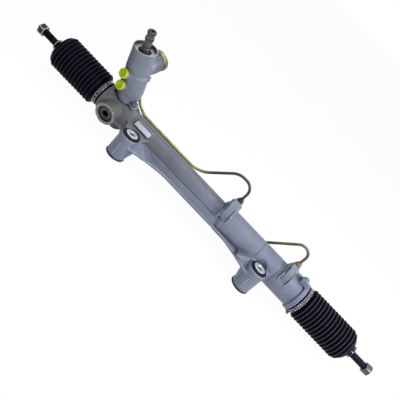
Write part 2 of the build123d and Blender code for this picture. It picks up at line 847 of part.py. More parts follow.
def valve_sleeve():
    """The ported sleeve of the rotary valve, fixed on the pinion's head."""
    end = valve_sleeve_low + valve_sleeve_len
    body = ring(pinion_plane, valve_sleeve_low + part_fit, end, shaft_pilot_r + part_fit, valve_sleeve_r)
    for start in groove_stations():
        body -= ring(pinion_plane, start, start + teflon_width, valve_sleeve_r - 1, valve_sleeve_r + 1)
    for index in range(3):
        hole = Rot(0, 0, 60 * index) * Rot(90, 0, 0) * Cylinder(2, 3 * valve_sleeve_r)
        middle = valve_sleeve_low + valve_sleeve_len / 2 + (index - 1) * (valve_sleeve_len - 10) / 3
        body -= pinion_plane * Pos(0, 0, middle) * hole
    return body


def sleeve_rings():
    rings = []
    for start in groove_stations():
        low = start + part_fit
        rings.append(ring(pinion_plane, low, start + teflon_width - part_fit,
                          valve_sleeve_r - 1 + part_fit, valve_bore_r - ring_clear))
    return Compound(children=rings)


def input_shaft():
    """The valve shaft: pilot with control grooves, stop tang, plain shank and serrated head."""
    pilot_top = valve_sleeve_low + valve_sleeve_len
    body = drum(pinion_plane, valve_sleeve_low + part_gap, pilot_top, shaft_pilot_r)
    for index in range(6):
        groove = Rot(0, 0, 60 * index) * Pos(shaft_pilot_r, 0, (valve_sleeve_low + pilot_top) / 2)
        body -= pinion_plane * groove * Box(1.6, 3, valve_sleeve_len - 16)
    body += turned(pinion_plane, [(pilot_top, 0), (pilot_top, shaft_r), (valve_top, shaft_r),
                                  (valve_top + 2, shank_r), (shaft_tip - spline_len - 2, shank_r),
                                  (shaft_tip - spline_len, spline_r), (shaft_tip - 1, spline_r),
                                  (shaft_tip, spline_r - 1), (shaft_tip, 0)])
    for index in range(spline_count):
        notch = Rot(0, 0, 360 / spline_count * index) * Pos(spline_r, 0, shaft_tip - spline_len / 2)
        body -= pinion_plane * notch * Rot(0, 0, 45) * Box(0.8, 0.8, spline_len)
    middle = shaft_tip - spline_len / 2
    body -= ring(pinion_plane, middle - pinch_groove_w / 2, middle + pinch_groove_w / 2, pinch_groove_r,
                 spline_r + 1)
    tang = Box(2 * tang_half, 2 * tang_thick, valve_sleeve_low - tang_low + 2)
    body += pinion_plane * Pos(0, 0, (valve_sleeve_low + tang_low + 2) / 2) * tang
    body -= drum(pinion_plane, tang_low, shaft_tip - 4, shaft_bore_r)
    return body - shaft_pin_bar(part_fit)


def shaft_pin_bar(extra):
    """The cross pin that joins the shaft to the torsion bar."""
    at = pinion_plane * Pos(0, 0, pin_at) * Rot(90, 0, 0)
    return at * Cylinder(pin_r + extra, 2 * shaft_r - 1 + 2 * extra)


def torsion_bar():
    top = shaft_tip - 5
    body = turned(pinion_plane, [(torsion_low + part_gap, 0), (torsion_low + part_gap, torsion_end_r),
                                 (torsion_low + 18, torsion_end_r), (torsion_low + 24, torsion_r),
                                 (pin_at - 14, torsion_r), (pin_at - 8, shaft_bore_r - part_fit),
                                 (top, shaft_bore_r - part_fit), (top, 0)])
    return body - shaft_pin_bar(part_fit)


def rack_bar():
    """The rack: a round bar with a flat and slanted teeth cut in it, and a stud at each end."""
    low = left_stop_face
    high = right_stop_face
    body = drum(rack_plane, low, high, rack_r - rack_clear)
    body += drum(rack_plane, low - stud_len, low, stud_r) + drum(rack_plane, high, high + stud_len, stud_r)
    reach = rack_travel + tooth_margin
    tip = pitch_line + rack_addendum
    flat = Box(2 * reach, 3 * rack_r, rack_r)
    body -= mesh_plane * Pos(0, 0, -tip - rack_r / 2) * flat
    slope = tan(radians(pressure_angle))
    half_space = (normal_pitch / 2 + thinning) / 2
    wide = half_space + (rack_addendum + 1) * slope
    narrow = half_space - rack_dedendum * slope
    section = make_face(Polyline((-narrow, pitch_line - rack_dedendum), (narrow, pitch_line - rack_dedendum),
                                 (wide, tip + 1), (-wide, tip + 1), close=True))
    normal_dir = guide_back.cross(tooth_dir)
    count = int((reach - rack_pitch) / rack_pitch)
    cutters = []
    for index in range(-count, count + 1):
        centre = mesh_point + Vector(index * rack_pitch, 0, 0)
        plane = Plane(origin=centre, x_dir=normal_dir, z_dir=tooth_dir)
        cutters.append(plane * Pos(0, 0, -1.5 * rack_r) * extrude(section, 3 * rack_r))
    return body - cutters


def piston():
    low = piston_mid - piston_width / 2
    high = piston_mid + piston_width / 2
    body = turned(rack_plane, [(low, rack_r), (low, piston_r - 2), (low + 2, piston_r), (high - 2, piston_r),
                               (high, piston_r - 2), (high, rack_r)])
    groove = piston_ring_width / 2
    return body - ring(rack_plane, piston_mid - groove, piston_mid + groove, piston_r - piston_ring_depth,
                       piston_r + 1)


def piston_ring():
    half = piston_ring_width / 2 - part_fit
    return ring(rack_plane, piston_mid - half, piston_mid + half, piston_r - piston_ring_depth + part_fit,
                cylinder_bore_r - ring_clear)


def rod_seal(start):
    """A lip seal round the rack bar with its spring groove."""
    end = start + seal_width - part_fit
    body = ring(rack_plane, start + part_fit, end, rack_r, seal_r - part_fit)
    return body - ring(rack_plane, end - 3, end + 1, rack_r + 2, seal_r - 2.5)


def end_bush():
    """The end stopper that closes the cylinder and carries the outer seal and bush."""
    outer = cylinder_bore_r - part_fit
    bay = right_end - socket_bay_depth
    bush_start = bay - bush_width
    return turned(rack_plane, [(cylinder_high, seal_r), (cylinder_high, outer), (right_end, outer),
                               (right_end, socket_bay_r), (bay, socket_bay_r), (bay, rack_bush_r),
                               (bush_start, rack_bush_r), (bush_start, rack_r + bore_clear),
                               (cylinder_high + seal_width, rack_r + bore_clear),
                               (cylinder_high + seal_width, seal_r)])


def rack_bush():
    bay = right_end - socket_bay_depth
    return ring(rack_plane, bay - bush_width + part_fit, bay, rack_r, rack_bush_r - part_fit)


def guide_yoke():
    """The pressure piece with its hollow face round the back of the rack."""
    body = drum(guide_plane, yoke_start, yoke_start + yoke_len, guide_bore_r - yoke_clear)
    body -= drum(rack_plane, mesh_x - 2 * guide_bore_r, mesh_x + 2 * guide_bore_r, rack_r)
    back = yoke_start + yoke_len
    return body - drum(guide_plane, back - spring_seat, back, spring_outer_r + part_gap)


def guide_spring():
    """A pair of dished springs, back to back, between the yoke and its plug."""
    low = yoke_start + yoke_len - spring_seat
    high = guide_face - plug_t
    middle = (low + high) / 2
    outer = spring_outer_r
    inner = spring_inner_r
    first = turned(guide_plane, [(low, outer), (low + spring_t, outer), (middle, inner),
                                 (middle - spring_t, inner)])
    second = turned(guide_plane, [(high - spring_t, outer), (high, outer), (middle + spring_t, inner),
                                  (middle, inner)])
    return Compound(children=[first, second])


def guide_plug():
    """The adjusting plug: thread body, hub and hexagon socket."""
    low = guide_face - plug_t
    lock = guide_face - plug_recess - lock_ring_t
    outer = guide_bore_r - part_fit
    body = turned(guide_plane, [(low, 0), (low, outer), (lock, outer), (lock, plug_hub_r),
                                (guide_face - plug_recess - 1, plug_hub_r), (guide_face - plug_recess - 1, 0)])
    socket = extrude(RegularPolygon(plug_socket_r, 6), plug_t)
    return body - guide_plane * Pos(0, 0, lock - 2) * socket


def guide_lock_ring():
    high = guide_face - plug_recess
    body = ring(guide_plane, high - lock_ring_t, high, plug_hub_r + part_fit, guide_bore_r - part_fit)
    for index in range(4):
        notch = Rot(0, 0, 90 * index) * Pos(guide_bore_r, 0, high)
        body -= guide_plane * notch * Box(5, 4, 2 * lock_ring_t)
    return body


def rubber_bush(side):
    """The rubber bushing with a flange at each end of its sleeve."""
    plane = Plane(origin=(side * bolt_x, 0, 0), z_dir=(0, 0, 1))
    low = sleeve_cut_low
    high = mount_height - sleeve_cut_top
    inner = steel_sleeve_r + part_fit
    wall = bush_bore_r - part_fit
    return turned(plane, [(1, inner), (1, bush_flange_low_r - 1.5), (2.5, bush_flange_low_r),
                          (low, bush_flange_low_r), (low, wall), (high, wall), (high, bush_flange_top_r),
                          (high + 2, bush_flange_top_r), (mount_height - washer_t, bush_flange_top_r - 1.5),
                          (mount_height - washer_t, inner)])


def steel_sleeve(side):
    """The inner steel sleeve with its broad upper washer face."""
    plane = Plane(origin=(side * bolt_x, 0, 0), z_dir=(0, 0, 1))
    low = mount_height - washer_t
    return turned(plane, [(0, bolt_hole_r), (0, steel_sleeve_r), (low, steel_sleeve_r), (low, washer_r),
                          (mount_height, washer_r), (mount_height, bolt_hole_r)])


def pipe(points, radii):
    """A bent steel pipe through its corner points."""
    path = FilletPolyline(*points, radius=radii)
    start = Plane(origin=path @ 0, z_dir=path % 0)
    return sweep(start * Circle(pipe_r), path=path)


def pipe_out(port):
    """The first two corner points of a pipe, straight out of its port."""
    start = port.origin + port.z_dir * (pipe_boss_len - pipe_depth)
    return [start, port.origin + port.z_dir * (pipe_boss_len + pipe_straight)]


def left_pipe():
    """The pipe from the valve to the first port tower, with its raised loop."""
    run = Vector(left_run_start, left_run_y, left_run_z)
    points = pipe_out(left_pipe_port) + [run + left_far_bend, run + left_near_bend, run]
    points += [Vector(left_run_end, left_run_y, left_run_z)]
    points += [Vector(port_one_x - hump_one_level, rack_y, hump_one_z), Vector(port_one_x, rack_y, hump_one_z)]
    points += [Vector(port_one_x, rack_y, rack_z + tower_one_h - pipe_depth)]
    return pipe(points, [valve_bend, turn_bend, dip_bend, run_bend, long_bend, crest_bend, left_drop_bend])


def right_pipe():
    """The pipe that runs behind the power cylinder and rises to the second port tower."""
    run = Vector(right_run_start, right_run_y, right_run_z)
    points = pipe_out(right_pipe_port) + [run + right_far_bend, run + right_near_bend, run]
    points += [Vector(right_run_end, right_run_y, right_run_z), Vector(behind_start, behind_y, behind_z)]
    points += [Vector(rise_x, behind_y, behind_z), Vector(port_two_x - hump_two_level, rack_y, hump_two_z)]
    points += [Vector(port_two_x, rack_y, hump_two_z)]
    points += [Vector(port_two_x, rack_y, rack_z + tower_two_h - pipe_depth)]
    return pipe(points, [valve_bend, turn_bend, run_bend, run_bend, long_bend, long_bend, dip_bend, top_bend,
                         right_drop_bend])


def flare_nut(plane):
    """A hexagon flare nut with a round shoulder, seated on its boss."""
    body = hexagon(plane, 0, pipe_nut_h - 1.5, 2 * pipe_nut_r * cos(pi / 6))
    body += drum(plane, pipe_nut_h - 1.5, pipe_nut_h + 2, pipe_nut_r - 2, pipe_r + 1.2)
    return body - drum(plane, -1, pipe_nut_h + 3, pipe_r + part_fit)


def port_nut(x, height):
    return flare_nut(Plane(origin=(x, rack_y, rack_z + height), z_dir=(0, 0, 1)))


def valve_pipe_nuts():
    nuts = []
    for plane in (left_pipe_port, right_pipe_port):
        nuts.append(flare_nut(Plane(origin=plane.origin + plane.z_dir * pipe_boss_len, z_dir=plane.z_dir)))
    return Compound(children=nuts)


def side_plane(side):
    """The rack axis seen from the middle outwards to one end."""
    return Plane(origin=rack_centre, x_dir=(0, 1, 0), z_dir=(side, 0, 0))


def ball_socket(side, stop_face):
    """The socket housing: screwed on the rack's stud, spun over round the ball seat."""
    start = abs(stop_face) + claw_t + part_fit
    ball = abs(stop_face) + ball_from_socket_face
    plane = side_plane(side)
    end = start + socket_len
    body = turned(plane, [(start, 0), (start, socket_r - 1), (start + 1, socket_r), (ball + 2, socket_r),
                          (end - 1, socket_r - 3), (end, socket_r - 4), (end, 0)])
    body -= drum(plane, start, start + stud_len, stud_r + part_fit)
    body -= plane * Pos(0, 0, ball) * Sphere(seat_r)
    wide = mouth_r + (end - ball - mouth_at) * tan(radians(mouth_flare))
    body -= drum(plane, ball + mouth_at, end, mouth_r, wide)
    flats = Box(3 * socket_r, socket_r, 12)
    for turn in (-1, 1):
        body -= plane * Pos(0, turn * (socket_r * 1.5 - 1.5), start + 8) * flats
    return body


def ball_seat(side, stop_face):
    ball = abs(stop_face) + ball_from_socket_face
    plane = side_plane(side)
    body = plane * Pos(0, 0, ball) * (Sphere(seat_r - part_fit) - Sphere(ball_r + ball_clear))
    return body - drum(plane, ball + mouth_at, ball + seat_r, mouth_r)


def claw_washer(side, stop_face):
    """The tabbed lock washer between the rack and the ball socket."""
    plane = side_plane(side)
    start = abs(stop_face)
    body = ring(plane, start + part_fit, start + claw_t, stud_r + part_fit, claw_r)
    for turn in (0, 180):
        body -= plane * Rot(0, 0, turn) * Pos(claw_r + 3, 0, start) * Box(10, 40, 4 * claw_t)
    return body


def tie_rod(side, stop_face, tip):
    """The ball, neck and rod with its chamfered tip."""
    ball = abs(stop_face) + ball_from_socket_face
    plane = side_plane(side)
    end = abs(tip)
    body = plane * Pos(0, 0, ball) * Sphere(ball_r)
    body += turned(plane, [(ball, 0), (ball, rod_neck_r), (ball + rod_neck_len, rod_neck_r),
                           (ball + rod_neck_len + 5, rod_r), (end - 1.5, rod_r), (end, rod_r - 1.5), (end, 0)])
    return body


def jam_nut(side, tip, thickness, inset):
    plane = side_plane(side)
    end = abs(tip) - inset
    body = hexagon(plane, end - thickness, end, nut_across)
    return body - drum(plane, end - thickness - 1, end + 1, rod_r + part_fit)


def bellows(side, collar, seat_radius, ridges, small_end):
    """A closed-wall bellows: lip, ridges, domed shoulder and small neck."""
    plane = side_plane(side)
    lip = seat_radius + part_fit
    lip_end = abs(collar) + lip_width
    first = lip_end - fold_overhang
    outer = [(abs(collar) + part_fit, lip + lip_t), (lip_end, lip + lip_t)]
    for index in range(ridges):
        outer += [(first + bellows_pitch * index, bellows_root_r)]
        outer += [(first + bellows_pitch * (index + 0.5), bellows_crest_r)]
    shoulder = first + bellows_pitch * ridges
    dome = abs(small_end) - shoulder
    outer += [(shoulder, bellows_root_r + 2), (shoulder + dome * 0.55, bellows_root_r - 5)]
    outer += [(shoulder + dome * 0.87, bellows_root_r - 15), (abs(small_end), small_neck_r + 1)]
    outer += [(abs(small_end) + small_neck_len, small_neck_r)]
    inner = [(along, radius - bellows_wall) for along, radius in outer[2:-2]]
    inner += [(abs(small_end) - bellows_wall, rod_r + part_gap)]
    inner += [(abs(small_end) + small_neck_len, rod_r + part_gap)]
    inner = [(abs(collar) + part_fit, lip), (lip_end, lip)] + inner
    return turned(plane, outer + inner[::-1])


def band_clamp(side, collar, seat_radius, turn):
    """A worm-free crimp band with its raised ear."""
    plane = side_plane(side)
    inner = seat_radius + lip_t + 2 * part_fit
    start = abs(collar) + clamp_start
    body = ring(plane, start, start + clamp_width, inner, inner + clamp_t)
    ear = plane * Rot(0, 0, turn) * Pos(inner + clamp_ear_high / 2, 0, start + clamp_width / 2)
    body += ear * Box(clamp_ear_high, clamp_ear_wide, clamp_width - 2)
    body -= drum(plane, start - 1, start + clamp_width + 1, inner)
    return body - ear * Box(clamp_ear_high / 2, clamp_ear_wide * 2 / 3, clamp_width)


def wire_clip(side, small_end):
    """A double-turn wire clip with a squeezed ear on the small neck."""
    plane = side_plane(side)
    inner = small_neck_r + 1
    start = abs(small_end) + clip_start
    loops = plane * Pos(0, 0, start) * Torus(inner + clip_wire_r, clip_wire_r)
    loops += plane * Pos(0, 0, start + clip_pitch) * Torus(inner + clip_wire_r, clip_wire_r)
    top = inner + clip_wire_r
    bar = Pos(0, top, start + clip_pitch / 2) * Cylinder(clip_wire_r, clip_pitch)
    loops += plane * bar
    for along in (start, start + clip_pitch):
        loops += plane * Pos(0, top + clip_ear / 2, along) * Rot(90, 0, 0) * Cylinder(clip_wire_r, clip_ear)
    loops += plane * Pos(0, top + clip_ear, start + clip_pitch / 2) * Cylinder(clip_wire_r, clip_pitch + 2)
    return loops


def small_clamp(side, small_end):
    """A narrow band clamp with two pinched tabs on the small neck."""
    plane = side_plane(side)
    inner = small_neck_r + 1 + part_fit
    start = abs(small_end) + clip_start
    body = ring(plane, start, start + clip_band, inner, inner + clamp_t)
    for offset in (-tab_gap, tab_gap):
        place = plane * Pos(offset, inner + tab_high / 2, start + clip_band / 2)
        body += place * Box(tab_t, tab_high, clip_band)
    return body - drum(plane, start - 1, start + clip_band + 1, inner)


save("rack_housing", rack_housing())
save("valve_housing", valve_housing())
save("valve_bolts", valve_bolts())
save("lower_port_plug", port_cap(low_port_plane))
save("upper_port_plug", port_cap(high_port_plane))
save("side_chamber_cap", side_cap())
save("shaft_seal", shaft_seal())
save("seal_snap_ring", snap_ring())
save("pinion_tower_cap", tower_cap())
save("lower_bearing", bearing(lower_bearing_at, lower_journal_r, lower_bearing_r - part_fit))
save("upper_bearing", bearing(upper_bearing_at, journal_r, upper_bearing_r - part_fit))
save("needle_bearing", ring(pinion_plane, needle_at, needle_at + needle_len, shaft_r + part_fit,
                            valve_bore_r - part_fit))
save("pinion_gear", pinion_gear())
save("pinion_nut", pinion_nut())
save("valve_sleeve", valve_sleeve())
save("sleeve_rings", sleeve_rings())
save("input_shaft", input_shaft())
save("torsion_bar", torsion_bar())
save("shaft_pin", shaft_pin_bar(0))
save("rack_bar", rack_bar())
save("piston", piston())
save("piston_ring", piston_ring())
save("inner_rod_seal", rod_seal(cylinder_low - seal_width))
save("outer_rod_seal", rod_seal(cylinder_high))
save("end_bush", end_bush())
save("rack_bush", rack_bush())
save("guide_yoke", guide_yoke())
save("guide_springs", guide_spring())
save("guide_plug", guide_plug())
save("guide_lock_ring", guide_lock_ring())
save("left_rubber_bush", rubber_bush(-1))
save("right_rubber_bush", rubber_bush(1))
save("left_steel_sleeve", steel_sleeve(-1))
save("right_steel_sleeve", steel_sleeve(1))
save("left_pipe", left_pipe())
save("right_pipe", right_pipe())
save("left_port_nut", port_nut(port_one_x, tower_one_h))
save("right_port_nut", port_nut(port_two_x, tower_two_h))
save("valve_pipe_nuts", valve_pipe_nuts())
save("left_ball_socket", ball_socket(-1, left_stop_face))
save("right_ball_socket", ball_socket(1, right_stop_face))
save("left_ball_seat", ball_seat(-1, left_stop_face))
save("right_ball_seat", ball_seat(1, right_stop_face))
save("left_claw_washer", claw_washer(-1, left_stop_face))
save("right_claw_washer", claw_washer(1, right_stop_face))
save("left_tie_rod", tie_rod(-1, left_stop_face, left_rod_tip))
save("right_tie_rod", tie_rod(1, right_stop_face, right_rod_tip))
save("left_jam_nut", jam_nut(-1, left_rod_tip, left_nut_t, left_nut_inset))
save("right_jam_nut", jam_nut(1, right_rod_tip, right_nut_t, 0))
save("left_bellows", bellows(-1, left_collar, left_seat_r, left_ridges, left_small_end))
save("right_bellows", bellows(1, right_collar, right_seat_r, right_ridges, right_small_end))
save("left_band_clamp", band_clamp(-1, left_collar, left_seat_r, left_ear_turn))
save("right_band_clamp", band_clamp(1, right_collar, right_seat_r, right_ear_turn))
save("left_wire_clip", wire_clip(-1, left_small_end))
save("right_small_clamp", small_clamp(1, right_small_end))
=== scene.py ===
import bpy
import bmesh
import json
from math import atan2, cos, degrees, pi, radians, sin
from mathutils import Matrix, Vector
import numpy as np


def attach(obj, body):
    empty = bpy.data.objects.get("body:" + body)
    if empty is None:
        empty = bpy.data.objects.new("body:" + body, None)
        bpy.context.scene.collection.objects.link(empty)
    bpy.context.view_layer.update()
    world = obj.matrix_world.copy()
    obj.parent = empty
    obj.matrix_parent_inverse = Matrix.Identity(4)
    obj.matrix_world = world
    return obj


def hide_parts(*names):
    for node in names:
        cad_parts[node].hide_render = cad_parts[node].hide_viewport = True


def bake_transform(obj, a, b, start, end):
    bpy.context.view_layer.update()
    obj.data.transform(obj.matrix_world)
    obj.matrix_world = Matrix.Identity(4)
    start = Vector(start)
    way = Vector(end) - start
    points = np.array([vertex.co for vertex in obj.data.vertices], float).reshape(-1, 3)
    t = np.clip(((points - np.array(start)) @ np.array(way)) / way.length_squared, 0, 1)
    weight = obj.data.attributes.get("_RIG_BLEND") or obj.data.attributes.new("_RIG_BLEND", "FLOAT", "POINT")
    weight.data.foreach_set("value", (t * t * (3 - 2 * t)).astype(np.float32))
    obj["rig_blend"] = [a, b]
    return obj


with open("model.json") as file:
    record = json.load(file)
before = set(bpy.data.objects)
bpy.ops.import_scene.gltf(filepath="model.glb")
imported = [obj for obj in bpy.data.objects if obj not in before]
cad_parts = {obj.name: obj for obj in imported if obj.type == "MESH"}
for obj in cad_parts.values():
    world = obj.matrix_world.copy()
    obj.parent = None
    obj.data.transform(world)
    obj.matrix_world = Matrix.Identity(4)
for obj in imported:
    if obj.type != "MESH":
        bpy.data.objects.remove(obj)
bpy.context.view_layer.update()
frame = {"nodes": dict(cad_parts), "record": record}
nodes = frame["nodes"]
scene = bpy.context.scene
print("frame loaded:", len(nodes), "parts")

# camera: in front and above, rolled so that the rack runs down to the right
cameraSet = {"place": (0.0038, -1.0151, 0.5693), "down": 26.02, "roll": 46.4, "lens": 48.4,
             "sensor": 36, "near": 0.05}
cameraData = bpy.data.cameras.new("viewCamera")
cameraData.lens = cameraSet["lens"]
cameraData.sensor_width = cameraSet["sensor"]
cameraData.clip_start = cameraSet["near"]
camera = bpy.data.objects.new("viewCamera", cameraData)
camera.matrix_world = (Matrix.Translation(cameraSet["place"])
                       @ Matrix.Rotation(radians(90 - cameraSet["down"]), 4, "X")
                       @ Matrix.Rotation(radians(cameraSet["roll"]), 4, "Z"))
scene.collection.objects.link(camera)
scene.camera = camera


def newObject(name, bm):
    mesh = bpy.data.meshes.new(name)
    bm.to_mesh(mesh)
    bm.free()
    made = bpy.data.objects.new(name, mesh)
    scene.collection.objects.link(made)
    return made


# shader nodes
def feedNode(tree, node, values):
    # each input gets a number, a colour or another node's output
    for name, value in values.items():
        socket = node.inputs[name]
        if isinstance(value, bpy.types.NodeSocket):
            tree.links.new(value, socket)
        elif socket.type == "RGBA":
            socket.default_value = (*value[:3], 1)
        else:
            socket.default_value = value


def newNode(tree, kind, values=None):
    node = tree.nodes.new("ShaderNode" + kind)
    feedNode(tree, node, values or {})
    return node


def noiseNode(tree, vector, scale, detail, rough):
    values = {"Vector": vector, "Scale": scale, "Detail": detail, "Roughness": rough}
    return newNode(tree, "TexNoise", values).outputs["Fac"]


def mathNode(tree, operation, a, b):
    node = newNode(tree, "Math")
    node.operation = operation
    feedNode(tree, node, {0: a, 1: b})
    return node.outputs[0]


def product(tree, *values):
    total = values[0]
    for value in values[1:]:
        total = mathNode(tree, "MULTIPLY", total, value)
    return total


def vectorNode(tree, operation, vector, other=None, output="Value"):
    node = newNode(tree, "VectorMath")
    node.operation = operation
    feedNode(tree, node, {0: vector} if other is None else {0: vector, 1: other})
    return node.outputs[output]


def rangeNode(tree, value, low, high, toLow, toHigh):
    values = {"Value": value, "From Min": low, "From Max": high, "To Min": toLow, "To Max": toHigh}
    return newNode(tree, "MapRange", values).outputs["Result"]


def mixNode(tree, factor, a, b, mode="MIX"):
    node = newNode(tree, "Mix")
    node.data_type = "RGBA"
    node.blend_type = mode
    feedNode(tree, node, {"Factor": factor, 6: a, 7: b})
    return node.outputs[2]


def attributeNode(tree, name):
    node = newNode(tree, "Attribute")
    node.attribute_name = name
    return node.outputs["Fac"]


def mixShaders(tree, factor, first, second):
    mix = newNode(tree, "MixShader", {"Fac": factor, 1: first.outputs[0], 2: second.outputs[0]})
    return mix.outputs[0]


# studio: white all round for the camera, soft boxes above and in front
studio = {
    "ambient": 0.26,
    "ambientTone": (0.96, 0.97, 1),
    "floorZ": -0.0006,
    "floorSize": 14.0,
    "floorGlow": 0.965,
    "floorTone": (0.9, 0.9, 0.9),
    "floorRough": 0.9,
    "floorShine": 0.1,
    "boxes": [
        {"name": "keyBox", "place": (1.3, -0.5, 1.25), "aim": (0.05, 0.05, 0.06), "size": 0.9, "power": 30},
        {"name": "topBox", "place": (-0.1, 0.1, 1.6), "aim": (0, 0.05, 0.06), "size": 1.1, "power": 11},
        {"name": "frontBox", "place": (0.3, -1.7, 0.6), "aim": (0, 0.05, 0.06), "size": 1.0, "power": 5},
    ],
}


def whiteRays(tree):
    # the rays that see the backdrop as plain white
    rays = newNode(tree, "LightPath")
    total = rays.outputs["Is Camera Ray"]
    for kind in ("Is Glossy Ray", "Is Transmission Ray"):
        total = mathNode(tree, "MAXIMUM", total, rays.outputs[kind])
    return total


def buildStudio():
    scene.view_settings.view_transform = "Standard"
    world = bpy.data.worlds.new("studioWorld")
    scene.world = world
    world.use_nodes = True
    tree = world.node_tree
    tree.nodes.clear()
    seen = newNode(tree, "Background", {"Color": (1, 1, 1)})
    soft = newNode(tree, "Background", {"Color": studio["ambientTone"], "Strength": studio["ambient"]})
    newNode(tree, "OutputWorld", {"Surface": mixShaders(tree, whiteRays(tree), soft, seen)})
    for box in studio["boxes"]:
        data = bpy.data.lights.new(box["name"], "AREA")
        data.size = box["size"]
        data.energy = box["power"]
        lamp = bpy.data.objects.new(box["name"], data)
        lamp.location = box["place"]
        lamp.rotation_euler = (Vector(box["aim"]) - Vector(box["place"])).to_track_quat("-Z", "Y").to_euler()
        scene.collection.objects.link(lamp)


def buildFloor():
    bm = bmesh.new()
    bmesh.ops.create_grid(bm, x_segments=2, y_segments=2, size=studio["floorSize"])
    bmesh.ops.translate(bm, vec=(0, 0, studio["floorZ"]), verts=bm.verts)
    floor = newObject("floor", bm)
    material = bpy.data.materials.new("paleFloor")
    material.use_nodes = True
    tree = material.node_tree
    shader = tree.nodes["Principled BSDF"]
    feedNode(tree, shader, {"Base Color": studio["floorTone"], "Roughness": studio["floorRough"],
                            "Specular IOR Level": studio["floorShine"]})
    glow = newNode(tree, "Emission", {"Strength": 1})
    share = product(tree, whiteRays(tree), studio["floorGlow"])
    feedNode(tree, tree.nodes["Material Output"], {"Surface": mixShaders(tree, share, shader, glow)})
    floor.data.materials.append(material)


buildStudio()
buildFloor()
print("studio ready")

# directions, in the same terms as the part: the rack along X, the pinion leaning off it
mm = 0.001
rackY, rackZ = 52.0, 58.0
leanAngle, crossAngle = radians(17.0), radians(10.7)
acrossWay = Vector((0, -sin(leanAngle), cos(leanAngle)))
guideWay = Vector((0, -cos(leanAngle), -sin(leanAngle)))
alongWay = Vector((1, 0, 0))
pinionWay = acrossWay * cos(crossAngle) - alongWay * sin(crossAngle)
pinionSide = alongWay * cos(crossAngle) + acrossWay * sin(crossAngle)
awayWay = pinionWay.cross(pinionSide)
meshPoint = Vector((-266.0, rackY, rackZ))
pinionFoot = Vector((-266.0, 69.0448, 63.2111))
# the guide sits this much left of the mesh point
guideShift = 4.5


def axisFrame(origin, way, side=None):
    # millimetres to metres, with Z along the way
    z = Vector(way).normalized()
    x = Vector(side) if side is not None else Vector((0, 0, 1)).cross(z)
    if x.length < 0.01:
        x = Vector((1, 0, 0))
    x = (x - z * x.dot(z)).normalized()
    y = z.cross(x)
    turn = Matrix((x, y, z)).transposed().to_4x4()
    return Matrix.Translation(Vector(origin) * mm) @ turn @ Matrix.Scale(mm, 4)


rackFrames = {"left": axisFrame((0, rackY, rackZ), (-1, 0, 0), (0, 1, 0)),
              "right": axisFrame((0, rackY, rackZ), (1, 0, 0), (0, 1, 0))}
pinionFrame = axisFrame(pinionFoot, pinionWay, pinionSide)
guideFrame = axisFrame(meshPoint - alongWay * guideShift, guideWay, (1, 0, 0))


# meshes, in millimetres until they are placed
weld = 0.0005


def spinOutline(bm, outline, steps, closed=True):
    # a full spin of (along, radius) points round the Z axis
    points = [bm.verts.new((radius, 0, along)) for along, radius in outline]
    edges = [bm.edges.new(pair) for pair in zip(points, points[1:])]
    if closed:
        edges.append(bm.edges.new((points[-1], points[0])))
    bmesh.ops.spin(bm, geom=points + edges, cent=(0, 0, 0), axis=(0, 0, 1), angle=2 * pi, steps=steps,
                   use_merge=True, use_duplicate=False)


def lathe(outline, steps=96, closed=True):
    bm = bmesh.new()
    spinOutline(bm, outline, steps, closed)
    bmesh.ops.remove_doubles(bm, verts=bm.verts, dist=weld)
    bmesh.ops.recalc_face_normals(bm, faces=bm.faces)
    return bm


def bevelled(bm, edges, width, segments=2):
    made = bmesh.ops.bevel(bm, geom=edges, offset=width, offset_type="OFFSET", affect="EDGES",
                           segments=segments, profile=0.5, material=-1, clamp_overlap=True)
    return made["faces"]


def softened(bm, width, segments=2, sharpest=30):
    # rounds the edges that turn more than the given angle, and marks them for the bright edges of the steel
    # finish, as rubbed wear and as painted highlight
    worn = bm.faces.layers.float.new("worn")
    edges = [e for e in bm.edges if len(e.link_faces) == 2 and e.calc_face_angle(0) > radians(sharpest)]
    for face in bevelled(bm, edges, width, segments):
        face[worn] = 1.0
    return bm


def addPiece(name, bm, place, body, material, smooth=35):
    bmesh.ops.transform(bm, matrix=place, verts=bm.verts)
    piece = newObject(name, bm)
    for face in piece.data.polygons:
        face.use_smooth = True
    piece.data.set_sharp_from_angle(angle=radians(smooth))
    piece.data.materials.append(material)
    if body:
        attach(piece, body)
    return piece


def shifted(points, along):
    # moves (along, radius) points along the axis
    return [(along + step, radius) for step, radius in points]


def fallingEdge(end, radius, edge, steps=5):
    # points round the outer edge of an end face
    turns = [pi / 2 * i / steps for i in range(steps + 1)]
    return [(end - edge + edge * sin(a), radius - edge + edge * cos(a)) for a in turns]


def roundEdge(start, end, radius, inner, edge):
    # outline of a ring with its outer edges rounded
    falling = fallingEdge(end, radius, edge, 4)
    rising = [(start + end - along, out) for along, out in reversed(falling)]
    return [(start, inner)] + rising + falling + [(end, inner)]


def vertsOf(geom):
    return [item for item in geom if isinstance(item, bmesh.types.BMVert)]


